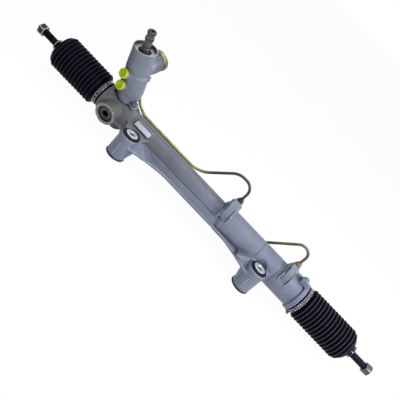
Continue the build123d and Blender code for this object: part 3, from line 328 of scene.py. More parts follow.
def hexBar(start, end, across, holeRadius, chamfer):
    # a hexagon nut with a bore and chamfered corners
    bm = bmesh.new()
    bmesh.ops.create_circle(bm, cap_ends=False, radius=across / 2 / cos(pi / 6), segments=6)
    outer = list(bm.edges)
    ring = bmesh.ops.create_circle(bm, cap_ends=False, radius=holeRadius, segments=48)
    inner = list({e for v in ring["verts"] for e in v.link_edges})
    bmesh.ops.translate(bm, vec=(0, 0, start), verts=bm.verts)
    bmesh.ops.subdivide_edges(bm, edges=outer, cuts=7)
    outer = [e for e in bm.edges if e not in inner]
    faces = bmesh.ops.bridge_loops(bm, edges=outer + inner)["faces"]
    grown = bmesh.ops.extrude_face_region(bm, geom=faces)["geom"]
    bmesh.ops.translate(bm, vec=(0, 0, end - start), verts=vertsOf(grown))
    bmesh.ops.recalc_face_normals(bm, faces=bm.faces)
    for v in bm.verts:     # the chamfer cuts the corners of both faces
        over = Vector(v.co[:2]).length - across / 2 - chamfer["from"]
        if over > 0:
            drop = over * chamfer["slope"]
            v.co.z += drop if v.co.z < (start + end) / 2 else -drop
    return bm


# shader node groups, each used by several finishes
def newGroup(name, colours, numbers):
    # takes a place, colours and numbers, and puts out a colour, a roughness and a height
    group = bpy.data.node_groups.new(name, "ShaderNodeTree")
    group.interface.new_socket(name="Vector", in_out="INPUT", socket_type="NodeSocketVector")
    for socketName, colour in colours.items():
        socket = group.interface.new_socket(name=socketName, in_out="INPUT", socket_type="NodeSocketColor")
        socket.default_value = colour + (1,)
    for socketName, number in numbers.items():
        socket = group.interface.new_socket(name=socketName, in_out="INPUT", socket_type="NodeSocketFloat")
        socket.default_value = number
    for socketName, kind in (("Color", "Color"), ("Roughness", "Float"), ("Height", "Float")):
        group.interface.new_socket(name=socketName, in_out="OUTPUT", socket_type="NodeSocket" + kind)
    return group, group.nodes.new("NodeGroupInput").outputs


def closeGroup(group, colour, roughness, height):
    end = group.nodes.new("NodeGroupOutput")
    feedNode(group, end, {"Color": colour, "Roughness": roughness, "Height": height})
    return group


# noises as scale, detail and roughness, and ranges as from low, from high, to low, to high
castGrain = {
    "cloud": (22, 5, 0.6), "clouded": (0.3, 0.72, 0.0, 1.0),
    "spot": (160, 3, 0.5), "spotted": (0.55, 0.75, 0.0, 0.22), "rough": (0.3, 0.7, 0.4, 0.58),
    "grain": (1300, 2, 0.6), "grainTall": 0.5, "dotted": (0.25, 0.75, -0.12, 0.12), "dotShare": 0.12,
    "pits": (520, 2, 0.5), "pitsTall": 0.8,
    # creaseShade and nookShade are painted shade
    "rubbed": (0.515, 0.57, 0.0, 0.75), "creaseShade": (0.49, 0.43, 0.0, 0.6), "creaseShadeTone": (0.06, 0.06, 0.075),
    "nookReach": 0.007, "nookRays": 6, "nook": (0.3, 0.85), "nookShade": (0.035, 0.037, 0.05),
}
steelGrain = {"streak": (1800, 3, 0.6), "stain": (120, 4, 0.6), "stretch": (0.12, 1, 1),
              "stained": (0.52, 0.78, 0.0, 0.8), "streaked": (0.35, 0.7, 0.0, 0.18), "rough": (0.3, 0.7)}
zincGrain = {"drift": (34, 3, 0.5), "mottle": (260, 4, 0.65), "fine": (1500, 2, 0.5),
             "drifted": (0.38, 0.62, 0.0, 1.0), "mottled": (0.5, 0.72, 0.0, 0.75),
             "rough": (0.3, 0.7, 0.22, 0.42)}
rubberGrain = {"patch": (55, 5, 0.65), "grain": (1700, 2, 0.5), "bloomed": (0.4, 0.75), "worn": (0.505, 0.56),
               "rough": (0.3, 0.7, 0.34, 0.52)}
mouldGrain = {"drift": (130, 4, 0.6), "peel": (900, 2, 0.5), "drifted": (0.4, 0.7, 0.0, 0.8),
              "rough": (0.3, 0.7, 0.3, 0.45)}


def grains(group, start, table, names):
    # the named noises of a table
    return [noiseNode(group, start["Vector"], *table[name]) for name in names]


def pointiness(group):
    return newNode(group, "NewGeometry").outputs["Pointiness"]


def buildCastSkin():
    # sand-cast aluminium: cloudy tone, dull grain, painted shade in creases and nooks, and rubbed edges
    group, start = newGroup("castSkin", {"Tone": (0.4, 0.42, 0.48), "Shade": (0.3, 0.31, 0.36),
                                         "Rubbed": (0.6, 0.62, 0.68)}, {"Nook Share": 0.85})
    g = castGrain
    cloud, spot, grain, pits = grains(group, start, g, ("cloud", "spot", "grain", "pits"))
    colour = mixNode(group, rangeNode(group, cloud, *g["clouded"]), start["Tone"], start["Shade"])
    colour = mixNode(group, rangeNode(group, spot, *g["spotted"]), colour, start["Shade"])
    dots = product(group, rangeNode(group, grain, *g["dotted"]), g["dotShare"])
    bend = pointiness(group)
    worn = rangeNode(group, mathNode(group, "ADD", bend, dots), *g["rubbed"])
    colour = mixNode(group, worn, colour, start["Rubbed"])
    # painted shade: creases, found by their low pointiness, go dark
    colour = mixNode(group, rangeNode(group, bend, *g["creaseShade"]), colour, g["creaseShadeTone"])
    # painted shade: nooks, found by ambient occlusion, go dark
    nook = newNode(group, "AmbientOcclusion", {"Distance": g["nookReach"]})
    nook.samples = g["nookRays"]
    nookShade = rangeNode(group, nook.outputs["AO"], *g["nook"], start["Nook Share"], 0.0)
    colour = mixNode(group, nookShade, colour, g["nookShade"])
    height = mathNode(group, "ADD", product(group, grain, g["grainTall"]),
                      product(group, pits, g["pitsTall"]))
    return closeGroup(group, colour, rangeNode(group, spot, *g["rough"]), height)


def buildSteelFinish():
    # bare or plated steel: fine brushed streaks, a few stains, and edges painted bright, as rubbed wear and
    # as painted highlight
    group, start = newGroup("steelFinish", {"Bright": (0.6, 0.6, 0.62), "Stain": (0.25, 0.24, 0.23),
                                            "Edge": (0.7, 0.7, 0.72)},
                            {"Edge Share": 0.0, "Smooth": 0.2, "Rough": 0.4})
    g = steelGrain
    stretch = newNode(group, "Mapping", {"Vector": start["Vector"], "Scale": g["stretch"]})
    streak = noiseNode(group, stretch.outputs[0], *g["streak"])
    stain = noiseNode(group, start["Vector"], *g["stain"])
    colour = mixNode(group, rangeNode(group, stain, *g["stained"]), start["Bright"], start["Stain"])
    colour = mixNode(group, rangeNode(group, streak, *g["streaked"]), colour, start["Stain"])
    # bevelled edges painted bright: rubbed wear, and painted highlight
    worn = product(group, attributeNode(group, "worn"), start["Edge Share"])
    colour = mixNode(group, worn, colour, start["Edge"])
    rough = rangeNode(group, stain, *g["rough"], start["Smooth"], start["Rough"])
    return closeGroup(group, colour, rough, streak)


def buildZincCoat():
    # yellow passivated zinc: gold, olive and dark green drifting into each other
    group, start = newGroup("zincCoat", {"Gold": (0.55, 0.45, 0.16), "Olive": (0.3, 0.32, 0.1),
                                         "Dark": (0.06, 0.055, 0.03)}, {})
    g = zincGrain
    drift, mottle, fine = grains(group, start, g, ("drift", "mottle", "fine"))
    colour = mixNode(group, rangeNode(group, drift, *g["drifted"]), start["Gold"], start["Olive"])
    colour = mixNode(group, rangeNode(group, mottle, *g["mottled"]), colour, start["Dark"])
    return closeGroup(group, colour, rangeNode(group, mottle, *g["rough"]), fine)


def buildRubberSkin():
    # black rubber: faint bloom in patches, painted highlight on the high spots in the same colour, and a fine
    # moulded grain
    group, start = newGroup("rubberSkin", {"Black": (0.012, 0.01, 0.016), "BloomAndHighlight": (0.05, 0.045, 0.07)},
                            {"Bloom Share": 0.6, "Crest Share": 0.5})
    g = rubberGrain
    patch, grain = grains(group, start, g, ("patch", "grain"))
    amount = rangeNode(group, patch, *g["bloomed"], 0.0, start["Bloom Share"])
    colour = mixNode(group, amount, start["Black"], start["BloomAndHighlight"])
    # painted highlight on the high spots
    worn = rangeNode(group, pointiness(group), *g["worn"], 0.0, start["Crest Share"])
    colour = mixNode(group, worn, colour, start["BloomAndHighlight"])
    return closeGroup(group, colour, rangeNode(group, patch, *g["rough"]), grain)


def buildMouldSkin():
    # moulded plastic: slight tone drift and shallow orange peel
    group, start = newGroup("mouldSkin", {"Tone": (0.6, 0.65, 0.02), "Shade": (0.4, 0.45, 0.01)}, {})
    g = mouldGrain
    drift, peel = grains(group, start, g, ("drift", "peel"))
    colour = mixNode(group, rangeNode(group, drift, *g["drifted"]), start["Tone"], start["Shade"])
    return closeGroup(group, colour, rangeNode(group, drift, *g["rough"]), peel)


castSkin = buildCastSkin()
steelFinish = buildSteelFinish()
zincCoat = buildZincCoat()
rubberSkin = buildRubberSkin()
mouldSkin = buildMouldSkin()
print("finish groups built")


# paint: what a finish changes from place to place
def splitPlace(tree, place):
    split = newNode(tree, "SeparateXYZ", {0: place})
    return [split.outputs[axis] for axis in "XYZ"]


def toned(tree, colour, value, zone):
    # the zone's tone, fading out between its two values
    share = rangeNode(tree, value, zone["full"], zone["none"], 1.0, 0.0)
    return mixNode(tree, share, colour, zone["tone"], "MULTIPLY")


def above(tree, value, pair):
    # a mask that rises from nothing to one between two values
    return rangeNode(tree, value, pair[0], pair[1], 0.0, 1.0)


def below(tree, value, pair):
    return rangeNode(tree, value, pair[0], pair[1], 1.0, 0.0)


def band(tree, value, pair, soft):
    # a mask that is one between two values
    low, high = pair
    return product(tree, above(tree, value, (low - soft, low)), below(tree, value, (high, high + soft)))


# the colour of the seams, and of the painted shade lines in creases and grooves
lineTone = (0.03, 0.032, 0.05)


def darkLine(tree, colour, masks, share):
    return mixNode(tree, product(tree, *masks, share), colour, lineTone)


# places in metres: tones of the casting with painted shade on the tube, seams of its moulds, and painted
# shade lines at the creases of the flange, the grooves of the towers and under the spine ridge
castMarksAndShade = {
    "gearEnd": {"full": -0.25, "none": -0.12, "tone": (1.0, 0.95, 0.8)},
    "tube": {"full": -0.1, "none": 0.08, "tone": (0.67, 0.63, 0.55)},
    "cylinderEnd": {"full": 0.3, "none": 0.26, "tone": (0.86, 0.9, 0.99)},
    "behindY": (0.004, 0.024), "flangeZ": (0.058, 0.062), "flangeShare": 0.35, "spineZ": (0.081, 0.084),
    "spineShare": 0.3, "gearFrontX": (-0.235, -0.222),
    "seams": (0.1709, 0.2289), "seamHalf": 0.0006, "seamSoft": 0.0005, "seamZ": (0.045, 0.047),
    "seamShare": 0.75,
    "frontY": (0.03, 0.031), "endSoft": 0.01,
    "creases": ({"x": (-0.165, 0.04), "z": (0.0598, 0.0613), "soft": 0.0007, "share": 0.8},
                {"x": (0.07, 0.15), "z": (0.0462, 0.0482), "soft": 0.0008, "share": 0.85}),
    "grooves": (0.0545, 0.0725, 0.2422, 0.2585), "grooveHalf": 0.001, "grooveSoft": 0.0009,
    "grooveY": (0.04, 0.041), "grooveZ": (0.078, 0.102), "grooveEnd": 0.004, "grooveShare": 0.9,
    "ridgeX": (-0.215, 0.052), "ridgeY": (0.0462, 0.0474), "ridgeSoft": 0.0007, "ridgeZ": (0.079, 0.08),
    "ridgeShare": 0.6,
}


def castPaint(tree, place, colour):
    # a warmer tone on the gear end and tube, darkened with painted shade that spares the top of the spine and
    # the lower flange, a slightly darker, bluer cylinder end, dark lines at the seams, and painted shade
    # lines at the creases, the grooves and under the spine ridge
    m = castMarksAndShade
    x, y, z = splitPlace(tree, place)
    plain = colour
    colour = toned(tree, colour, x, m["gearEnd"])
    colour = toned(tree, colour, x, m["tube"])
    # painted shade: the darker tone spares the top of the spine, the lower flange and its front edge
    amount = product(tree, above(tree, y, m["behindY"]),
                     rangeNode(tree, z, *m["flangeZ"], m["flangeShare"], 1.0),
                     rangeNode(tree, z, *m["spineZ"], 1.0, m["spineShare"]))
    amount = mathNode(tree, "MAXIMUM", amount, below(tree, x, m["gearFrontX"]))
    colour = mixNode(tree, amount, plain, colour)
    colour = toned(tree, colour, x, m["cylinderEnd"])
    high = above(tree, z, m["seamZ"])
    for seam in m["seams"]:
        line = band(tree, x, (seam - m["seamHalf"], seam + m["seamHalf"]), m["seamSoft"])
        colour = darkLine(tree, colour, [line, high], m["seamShare"])
    # painted shade lines along the creases of the flange, on its front
    front = below(tree, y, m["frontY"])
    for crease in m["creases"]:
        masks = [band(tree, x, crease["x"], m["endSoft"]), front, band(tree, z, crease["z"], crease["soft"])]
        colour = darkLine(tree, colour, masks, crease["share"])
    # painted shade lines down the grooves of the towers
    for groove in m["grooves"]:
        line = band(tree, x, (groove - m["grooveHalf"], groove + m["grooveHalf"]), m["grooveSoft"])
        masks = [line, below(tree, y, m["grooveY"]), band(tree, z, m["grooveZ"], m["grooveEnd"])]
        colour = darkLine(tree, colour, masks, m["grooveShare"])
    # a painted shade line under the spine ridge
    masks = [band(tree, x, m["ridgeX"], m["endSoft"]), above(tree, z, m["ridgeZ"]),
             band(tree, y, m["ridgeY"], m["ridgeSoft"])]
    return darkLine(tree, colour, masks, m["ridgeShare"])


# painted highlight lines along the crest of every fold, painted fainter on the left bellows
ridgeHighlight = {"reach": 0.3, "left": 0.5, "right": 0.95, "tone": (0.078, 0.073, 0.115)}


def paintRidgeHighlight(tree, place, colour):
    r = ridgeHighlight
    # the painted highlight grows from the left bellows to the right
    strength = rangeNode(tree, splitPlace(tree, place)[0], -r["reach"], r["reach"], r["left"], r["right"])
    return mixNode(tree, product(tree, attributeNode(tree, "crest"), strength), colour, r["tone"])


# the straight run of the left pipe is bright, its climb and its loop are darker
pipeMarks = {"bright": -0.055, "dark": -0.02, "share": 0.97, "tone": (0.04, 0.04, 0.037)}


def pipePaint(tree, place, colour):
    m = pipeMarks
    share = rangeNode(tree, splitPlace(tree, place)[0], m["bright"], m["dark"], 0.0, m["share"])
    return mixNode(tree, share, colour, m["tone"])


# places on the valve housing: along its axis, across it, away from the plugs, and out from the axis
valveShade = {
    "farSide": {"full": 0.034, "none": 0.022, "tone": (0.56, 0.54, 0.57)},
    "flank": (-0.021, 0.002), "flankShare": 0.95, "flankTone": (0.4, 0.36, 0.33),
    "step": (0.1146, 0.116), "stepSoft": 0.0006, "stepAcross": (-0.019, -0.013), "stepShare": 0.9,
    "recessTop": (0.1535, 0.1555), "recessFoot": (0.14, 0.142), "recessOut": (0.0242, 0.0248),
    "recessShade": (0.016, 0.012, 0.014), "recessShadeShare": 0.93,
}


def valvePaint(tree, place, colour):
    # painted shade on the far side from the plugs and on the left flank, a short painted shade line at the
    # step, and painted shade in the seal recess
    m = valveShade
    foot = vectorNode(tree, "SUBTRACT", place, pinionFoot * mm, "Vector")
    along = vectorNode(tree, "DOT_PRODUCT", foot, pinionWay)
    out = vectorNode(tree, "LENGTH", vectorNode(tree, "CROSS_PRODUCT", foot, pinionWay, "Vector"))
    across = vectorNode(tree, "DOT_PRODUCT", foot, pinionSide)
    # painted shade on the far side from the plugs and on the left flank
    colour = toned(tree, colour, vectorNode(tree, "DOT_PRODUCT", foot, awayWay), m["farSide"])
    flank = rangeNode(tree, across, *m["flank"], m["flankShare"], 0.0)
    colour = mixNode(tree, flank, colour, m["flankTone"], "MULTIPLY")
    # a painted shade line at the step, on the left side only
    step = [band(tree, along, m["step"], m["stepSoft"]), below(tree, across, m["stepAcross"])]
    colour = darkLine(tree, colour, step, m["stepShare"])
    # painted shade in the seal recess
    recess = product(tree, below(tree, along, m["recessTop"]), above(tree, along, m["recessFoot"]),
                     rangeNode(tree, out, *m["recessOut"], m["recessShadeShare"], 0.0))
    return mixNode(tree, recess, colour, m["recessShade"])


def finishMaterial(name, group, colours, metal, shine, bump, numbers=None, paint=None):
    material = bpy.data.materials.new(name)
    material.use_nodes = True
    tree = material.node_tree
    shader = tree.nodes["Principled BSDF"]
    place = newNode(tree, "TexCoord").outputs["Object"]
    skin = newNode(tree, "Group")
    skin.node_tree = group
    feedNode(tree, skin, {"Vector": place, **colours, **(numbers or {})})
    colour = skin.outputs["Color"]
    if paint:
        colour = paint(tree, place, colour)
    relief = newNode(tree, "Bump", {"Strength": bump["strength"], "Distance": bump["depth"] * mm,
                                    "Height": skin.outputs["Height"]})
    feedNode(tree, shader, {"Metallic": metal, "Specular IOR Level": shine, "Base Color": colour,
                            "Roughness": skin.outputs["Roughness"], "Normal": relief.outputs["Normal"]})
    return material


castBump = {"strength": 0.55, "depth": 0.35}
padBump = {"strength": 0.8, "depth": 0.5}
steelBump = {"strength": 0.25, "depth": 0.05}
plasticBump = {"strength": 0.3, "depth": 0.1}
rubberBump = {"strength": 0.35, "depth": 0.08}


def castLook(name, tone, shade, rubbed, metal=0.15, shine=0.35, bump=castBump, nook=0.85, paint=None):
    colours = {"Tone": tone, "Shade": shade, "Rubbed": rubbed}
    return finishMaterial(name, castSkin, colours, metal, shine, bump, {"Nook Share": nook}, paint)


def rubberLook(name, black, bloomAndHighlight, shine, bloomShare=0.6, crestShare=0.5, paint=None):
    colours = {"Black": black, "BloomAndHighlight": bloomAndHighlight}
    numbers = {"Bloom Share": bloomShare, "Crest Share": crestShare}
    return finishMaterial(name, rubberSkin, colours, 0.0, shine, rubberBump, numbers, paint)


def steelLook(name, bright, stain, metal, shine, smooth=0.2, rough=0.4, edge=0.0):
    colours = {"Bright": bright, "Stain": stain}
    numbers = {"Smooth": smooth, "Rough": rough, "Edge Share": edge}
    return finishMaterial(name, steelFinish, colours, metal, shine, steelBump, numbers)


def zincLook(name, gold, olive, dark, metal, shine, paint=None):
    colours = {"Gold": gold, "Olive": olive, "Dark": dark}
    return finishMaterial(name, zincCoat, colours, metal, shine, steelBump, None, paint)


def mouldLook(name, tone, shade, shine, bump):
    return finishMaterial(name, mouldSkin, {"Tone": tone, "Shade": shade}, 0.0, shine, bump)


# the colours of each look, then its metal and shine
# the edge share, here and in the variants, paints bevelled edges bright, as rubbed wear and as painted
# highlight
finishes = {
    "cast_aluminium": castLook("castAluminium", (0.175, 0.2, 0.275), (0.13, 0.15, 0.205), (0.45, 0.49, 0.62),
                               paint=castPaint),
    "valve_aluminium": castLook("valveAluminium", (0.2, 0.225, 0.29), (0.15, 0.17, 0.215), (0.5, 0.53, 0.62),
                                paint=valvePaint),
    "bellows_rubber": rubberLook("bellowsRubber", (0.0016, 0.0013, 0.003), (0.02, 0.018, 0.032), 0.015,
                                 0.12, 0.0, paintRidgeHighlight),
    "bush_rubber": rubberLook("bushRubber", (0.003, 0.003, 0.008), (0.015, 0.014, 0.03), 0.15, 0.5, 0.4),
    "seal_rubber": rubberLook("sealRubber", (0.008, 0.007, 0.009), (0.025, 0.022, 0.025), 0.3),
    "bright_steel": steelLook("brightSteel", (0.56, 0.57, 0.62), (0.2, 0.2, 0.24), 0.6, 0.5, smooth=0.25),
    "yellow_plastic": mouldLook("yellowPlastic", (0.47, 0.58, 0.004), (0.26, 0.31, 0.003), 0.2, plasticBump),
    "yellow_zinc": zincLook("yellowZinc", (0.34, 0.34, 0.16), (0.13, 0.135, 0.075), (0.025, 0.025, 0.018),
                            0.6, 0.5),
    "brass_nut": zincLook("brassNut", (0.33, 0.24, 0.14), (0.2, 0.13, 0.07), (0.04, 0.025, 0.015), 0.7, 0.5),
    "black_plug": steelLook("blackPlug", (0.004, 0.004, 0.008), (0.015, 0.015, 0.03), 0.0, 0.25,
                            smooth=0.22, edge=0.3),
    "bolt_steel": steelLook("boltSteel", (0.2, 0.2, 0.22), (0.07, 0.068, 0.07), 0.5, 0.4),
    "bearing_steel": steelLook("bearingSteel", (0.62, 0.62, 0.64), (0.4, 0.4, 0.42), 0.95, 0.5),
    "machined_steel": steelLook("machinedSteel", (0.1, 0.088, 0.1), (0.028, 0.023, 0.026), 0.4, 0.35,
                                smooth=0.3, rough=0.48),
    "low_friction_resin": mouldLook("resin", (0.68, 0.64, 0.52), (0.5, 0.46, 0.36), 0.5, steelBump),
    "guide_metal": steelLook("guideMetal", (0.13, 0.13, 0.16), (0.06, 0.06, 0.08), 0.5, 0.5, edge=0.9),
    "spring_steel": steelLook("springSteel", (0.3, 0.3, 0.32), (0.12, 0.12, 0.13), 0.9, 0.5),
    "dark_steel": steelLook("darkSteel", (0.003, 0.003, 0.007), (0.012, 0.012, 0.025), 0.0, 0.08,
                            smooth=0.32, rough=0.5),
    "nut_steel": steelLook("nutSteel", (0.085, 0.088, 0.09), (0.03, 0.031, 0.03), 0.4, 0.35, edge=0.22),
    "clamp_steel": steelLook("clampSteel", (0.1, 0.1, 0.15), (0.03, 0.03, 0.05), 0.6, 0.4,
                             rough=0.36, edge=0.8),
}
# nodes whose finish differs from their slot's: dark and brassy pipes, nearly black nuts, a bluish rod, a wire
variants = {
    "left_pipe": zincLook("darkZinc", (0.36, 0.39, 0.09), (0.17, 0.18, 0.07), (0.03, 0.03, 0.02),
                          0.4, 0.4, pipePaint),
    "right_pipe": zincLook("brassyZinc", (0.2, 0.155, 0.085), (0.09, 0.09, 0.065), (0.03, 0.03, 0.025),
                           0.4, 0.4),
    "left_port_nut": steelLook("darkNut", (0.03, 0.03, 0.04), (0.015, 0.015, 0.02), 0.2, 0.3),
    "left_jam_nut": steelLook("blackNut", (0.03, 0.03, 0.035), (0.01, 0.01, 0.012), 0.2, 0.3,
                              smooth=0.22, edge=1.0),
    "right_tie_rod": steelLook("blueSteel", (0.016, 0.015, 0.04), (0.03, 0.028, 0.06), 0.0, 0.12,
                               smooth=0.32, rough=0.5),
    "left_wire_clip": steelLook("wireSteel", (0.4, 0.4, 0.42), (0.03, 0.03, 0.035), 0.5, 0.5,
                                smooth=0.15, rough=0.3),
}
slotOf = {entry["node"]: entry["material_slot"] for entry in frame["record"]["subparts"]}
for name, node in nodes.items():
    node.data.materials.clear()
    node.data.materials.append(variants.get(name, finishes[slotOf[name]]))
print("finishes:", len(finishes))


# castings: the CAD shape with soft corners
casting = {"weld": 0.000005, "voxel": 1.25, "smooth": 3, "share": 0.5, "most": 185000}
valveCasting = {"weld": 0.000005, "voxel": 1.0, "smooth": 3, "share": 0.5, "most": 120000}


def addSlab(bm, start, end, wide, endWide, deep):
    # a straight web between two points, wider or narrower at its end
    way = Vector(end) - Vector(start)
    made = bmesh.ops.create_cube(bm, size=1)
    bmesh.ops.scale(bm, vec=(wide, deep, way.length), verts=made["verts"])
    bmesh.ops.scale(bm, vec=(endWide / wide, 1, 1), verts=[v for v in made["verts"] if v.co.z < 0])
    middle = Matrix.Translation((Vector(start) + Vector(end)) / 2)
    turn = Matrix.Rotation(atan2(way.y, -way.z), 4, "X")
    bmesh.ops.transform(bm, matrix=middle @ turn, verts=made["verts"])


def shapedMesh(shape):
    # the mesh with its modifiers applied
    return bpy.data.meshes.new_from_object(shape.evaluated_get(bpy.context.evaluated_depsgraph_get()))


def castPiece(node, name, sizes, body, extras, clear):
    bm = bmesh.new()
    bm.from_mesh(nodes[node].data)
    bmesh.ops.remove_doubles(bm, verts=bm.verts, dist=sizes["weld"])
    if extras:
        extras(bm)
    shape = newObject(name + "Rough", bm)
    remesh = shape.modifiers.new("voxels", "REMESH")
    remesh.mode = "VOXEL"
    remesh.voxel_size = sizes["voxel"] * mm
    smooth = shape.modifiers.new("soften", "SMOOTH")
    smooth.factor = sizes["share"]
    smooth.iterations = sizes["smooth"]
    made = shapedMesh(shape)
    triangles = len(made.loops) - 2 * len(made.polygons)
    print(name, "triangles", triangles)
    if triangles > sizes["most"]:
        thin = shape.modifiers.new("thin", "DECIMATE")
        thin.ratio = sizes["most"] / triangles
        made = shapedMesh(shape)
    bpy.data.objects.remove(shape)
    bm = bmesh.new()
    bm.from_mesh(made)
    if clear:
        clear(bm)
    piece = addPiece(name, bm, Matrix.Identity(4), body, finishes[slotOf[node]], 180)
    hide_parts(node)
    return piece


# webs down the front of both port towers, each as its X, its rise and its share of the width. The last point
# of the path stays on the casting, whatever the rise. Then the bores that stay clear.
towerWebs = {"towers": ((0.0642, 0.0, 1.0), (0.2505, -0.005, 0.9)), "deep": 0.011,
             "wide": (0.018, 0.02, 0.022, 0.023, 0.024),
             "path": ((0.047, 0.112), (0.037, 0.1045), (0.0292, 0.095), (0.0252, 0.084)),
             "foot": (0.0262, 0.0715)}
housingBores = ({"open": -333.0, "floor": -317.4, "radius": 21.5},
                {"open": 335.0, "floor": 62.0, "radius": 27.1})


def housingExtras(bm):
    w = towerWebs
    for x, rise, share in w["towers"]:
        points = [(x, y, z + rise) for y, z in w["path"]] + [(x, *w["foot"])]
        for i in range(len(points) - 1):
            addSlab(bm, points[i], points[i + 1], w["wide"][i] * share, w["wide"][i + 1] * share, w["deep"])


def clearBores(bm):
    # what the webs and the soft corners leave inside a bore goes back to its nearest wall
    for bore in housingBores:
        low, high = sorted((bore["open"] * mm, bore["floor"] * mm))
        radius = bore["radius"] * mm
        for vert in bm.verts:
            out = Vector((0, vert.co.y - rackY * mm, vert.co.z - rackZ * mm))
            if not low < vert.co.x < high or out.length >= radius:
                continue
            if abs(vert.co.x - bore["floor"] * mm) < radius - out.length:
                vert.co.x = bore["floor"] * mm
            else:
                out = out.normalized() * radius
                vert.co.y = rackY * mm + out.y
                vert.co.z = rackZ * mm + out.z


castPiece("rack_housing", "castHousing", casting, "housing", housingExtras, clearBores)
castPiece("valve_housing", "castValve", valveCasting, "housing", None, None)
print("castings done")


# bellows
bellowsSets = {
    "left": {"lipStart": 306.1, "lipEnd": 321.0, "seat": 28.1, "first": 323.0, "ridges": 12, "domeTo": 452.0,
             "neckTo": 464.0, "split": 433.0, "turnWith": "left_tie_rod"},
    "right": {"lipStart": 307.1, "lipEnd": 322.0, "seat": 32.6, "first": 324.0, "ridges": 13, "domeTo": 467.0,
              "neckTo": 479.0, "split": 443.0, "turnWith": "right_tie_rod"},
}
bellowsForm = {"pitch": 9.0, "crest": 40.4, "root": 37.9, "wall": 1.5, "lip": 2.4, "lipEdge": 0.5,
               "flare": (1.2, 2.0), "neck": 10.2, "neckEdge": 0.6, "innerLeast": 8.4, "perRidge": 16,
               "sharpness": 0.65, "domeRun": 1.5, "domeFoot": 11.2, "domeTall": 27.8, "domeSteps": 48,
               "ripple": 1.5, "around": 120, "line": 0.13, "plainEnd": 0.1, "bendEnd": 2.0}


def bellowsOutline(sizes):
    form = bellowsForm
    lip, neck = sizes["seat"] + form["lip"], form["neck"]
    outline = [(sizes["lipStart"], lip - form["lipEdge"]), (sizes["lipStart"] + form["lipEdge"], lip),
               (sizes["lipEnd"], lip), (sizes["lipEnd"] + form["flare"][0], lip + form["flare"][1])]
    for ridge in range(sizes["ridges"]):
        for step in range(form["perRidge"]):
            t = step / form["perRidge"]
            rise = ((1 - cos(2 * pi * t)) / 2) ** form["sharpness"]
            outline.append((sizes["first"] + form["pitch"] * (ridge + t),
                            form["root"] + (form["crest"] - form["root"]) * rise))
    shoulder = sizes["first"] + form["pitch"] * sizes["ridges"]
    run = shoulder + form["domeRun"]
    for step in range(form["domeSteps"] + 1):     # the folds run on over the shoulder, and fade
        a = pi / 2 * step / form["domeSteps"]
        along = run + (sizes["domeTo"] - run) * sin(a)
        rise = (1 - cos(2 * pi * (along - shoulder) / form["pitch"])) / 2 * form["ripple"] * cos(a) ** 0.5
        outline.append((along, form["domeFoot"] + form["domeTall"] * cos(a) + rise))
    return outline + [(sizes["domeTo"] + form["domeRun"], neck), (sizes["neckTo"] - form["neckEdge"], neck),
                      (sizes["neckTo"], neck - form["neckEdge"])]


def buildBellows(side):
    sizes = bellowsSets[side]
    outline = bellowsOutline(sizes)
    split = sizes["split"]
    before = [p for p in outline if p[0] < split]
    after = [p for p in outline if p[0] >= split]
    share = (split - before[-1][0]) / (after[0][0] - before[-1][0])
    seam = (split, before[-1][1] + (after[0][1] - before[-1][1]) * share)
    form = bellowsForm
    pieces = {}
    for part, points in (("Folds", before + [seam]), ("Shoulder", [seam] + after)):
        inner = [(along, max(radius - form["wall"], form["innerLeast"])) for along, radius in points]
        bm = lathe(points + inner[::-1], form["around"])
        # the crest layer carries the painted highlight lines along the folds
        crestHighlight = bm.verts.layers.float.new("crest")
        for vert in bm.verts:
            ridge = (vert.co.z - sizes["first"]) / form["pitch"]
            folded = 0 < ridge < (sizes["domeTo"] - sizes["first"]) / form["pitch"] - form["plainEnd"]
            vert[crestHighlight] = max(1 - abs(ridge % 1 - 0.5) / form["line"], 0) if folded else 0.0
        pieces[part] = addPiece(side + part, bm, rackFrames[side], None, finishes["bellows_rubber"],
                                60)
    sign = -1 if side == "left" else 1
    reach = [sign * along * mm for along in (sizes["lipEnd"], split, sizes["domeTo"] - form["bendEnd"])]
    points = [(x, rackY * mm, rackZ * mm) for x in reach]
    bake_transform(pieces["Folds"], "housing", "rack", start=points[0], end=points[1])
    # an even stretch over the folds, so that no fold turns over at full travel
    mesh = pieces["Folds"].data
    for i, vertex in enumerate(mesh.vertices):
        share = (vertex.co.x - reach[0]) / (reach[1] - reach[0])
        mesh.attributes["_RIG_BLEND"].data[i].value = min(max(share, 0.0), 1.0)
    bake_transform(pieces["Shoulder"], "rack", sizes["turnWith"], start=points[1], end=points[2])
    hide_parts(side + "_bellows")


for side in ("left", "right"):
    buildBellows(side)
print("bellows done")

# closing plugs of the two ports: a stepped rim round a shallow dish
plugSet = {"boss": 35.0, "height": 7.0, "radius": 10.8, "rim": 2.2, "rise": 5.0,
           "stem": ((-7, 0), (-7, 6.0), (-6, 6.5), (0, 6.95), (0.05, 10.0), (0.9, 10.8)),
           "dish": ((-0.2, 7.8), (-1.6, 7.0), (-1.6, 5.6), (-0.9, 4.8), (-0.9, 2.2), (-1.6, 1.6), (-1.6, 0)),
           "ports": {"lowerPlug": ("lower_port_plug", 52.0, 17.0),
                     "upperPlug": ("upper_port_plug", 81.0, 20.0)}}


def buildPlug(name, node, along, azimuth):
    p = plugSet
    top = p["boss"] + p["height"]
    rim = fallingEdge(top, p["radius"], p["rim"])
    outline = shifted(p["stem"], p["boss"]) + rim + shifted(p["dish"], top)
    bm = lathe(outline, 72, closed=False)
    turn, rise = radians(azimuth), radians(p["rise"])
    way = Vector((-sin(turn) * cos(rise), -cos(turn) * cos(rise), sin(rise)))
    place = axisFrame(pinionFoot + pinionWay * along, way)
    piece = addPiece(name, bm, place, "housing", finishes["yellow_plastic"], 50)
    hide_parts(node)


for name, (node, along, azimuth) in plugSet["ports"].items():
    buildPlug(name, node, along, azimuth)
print("plugs done")


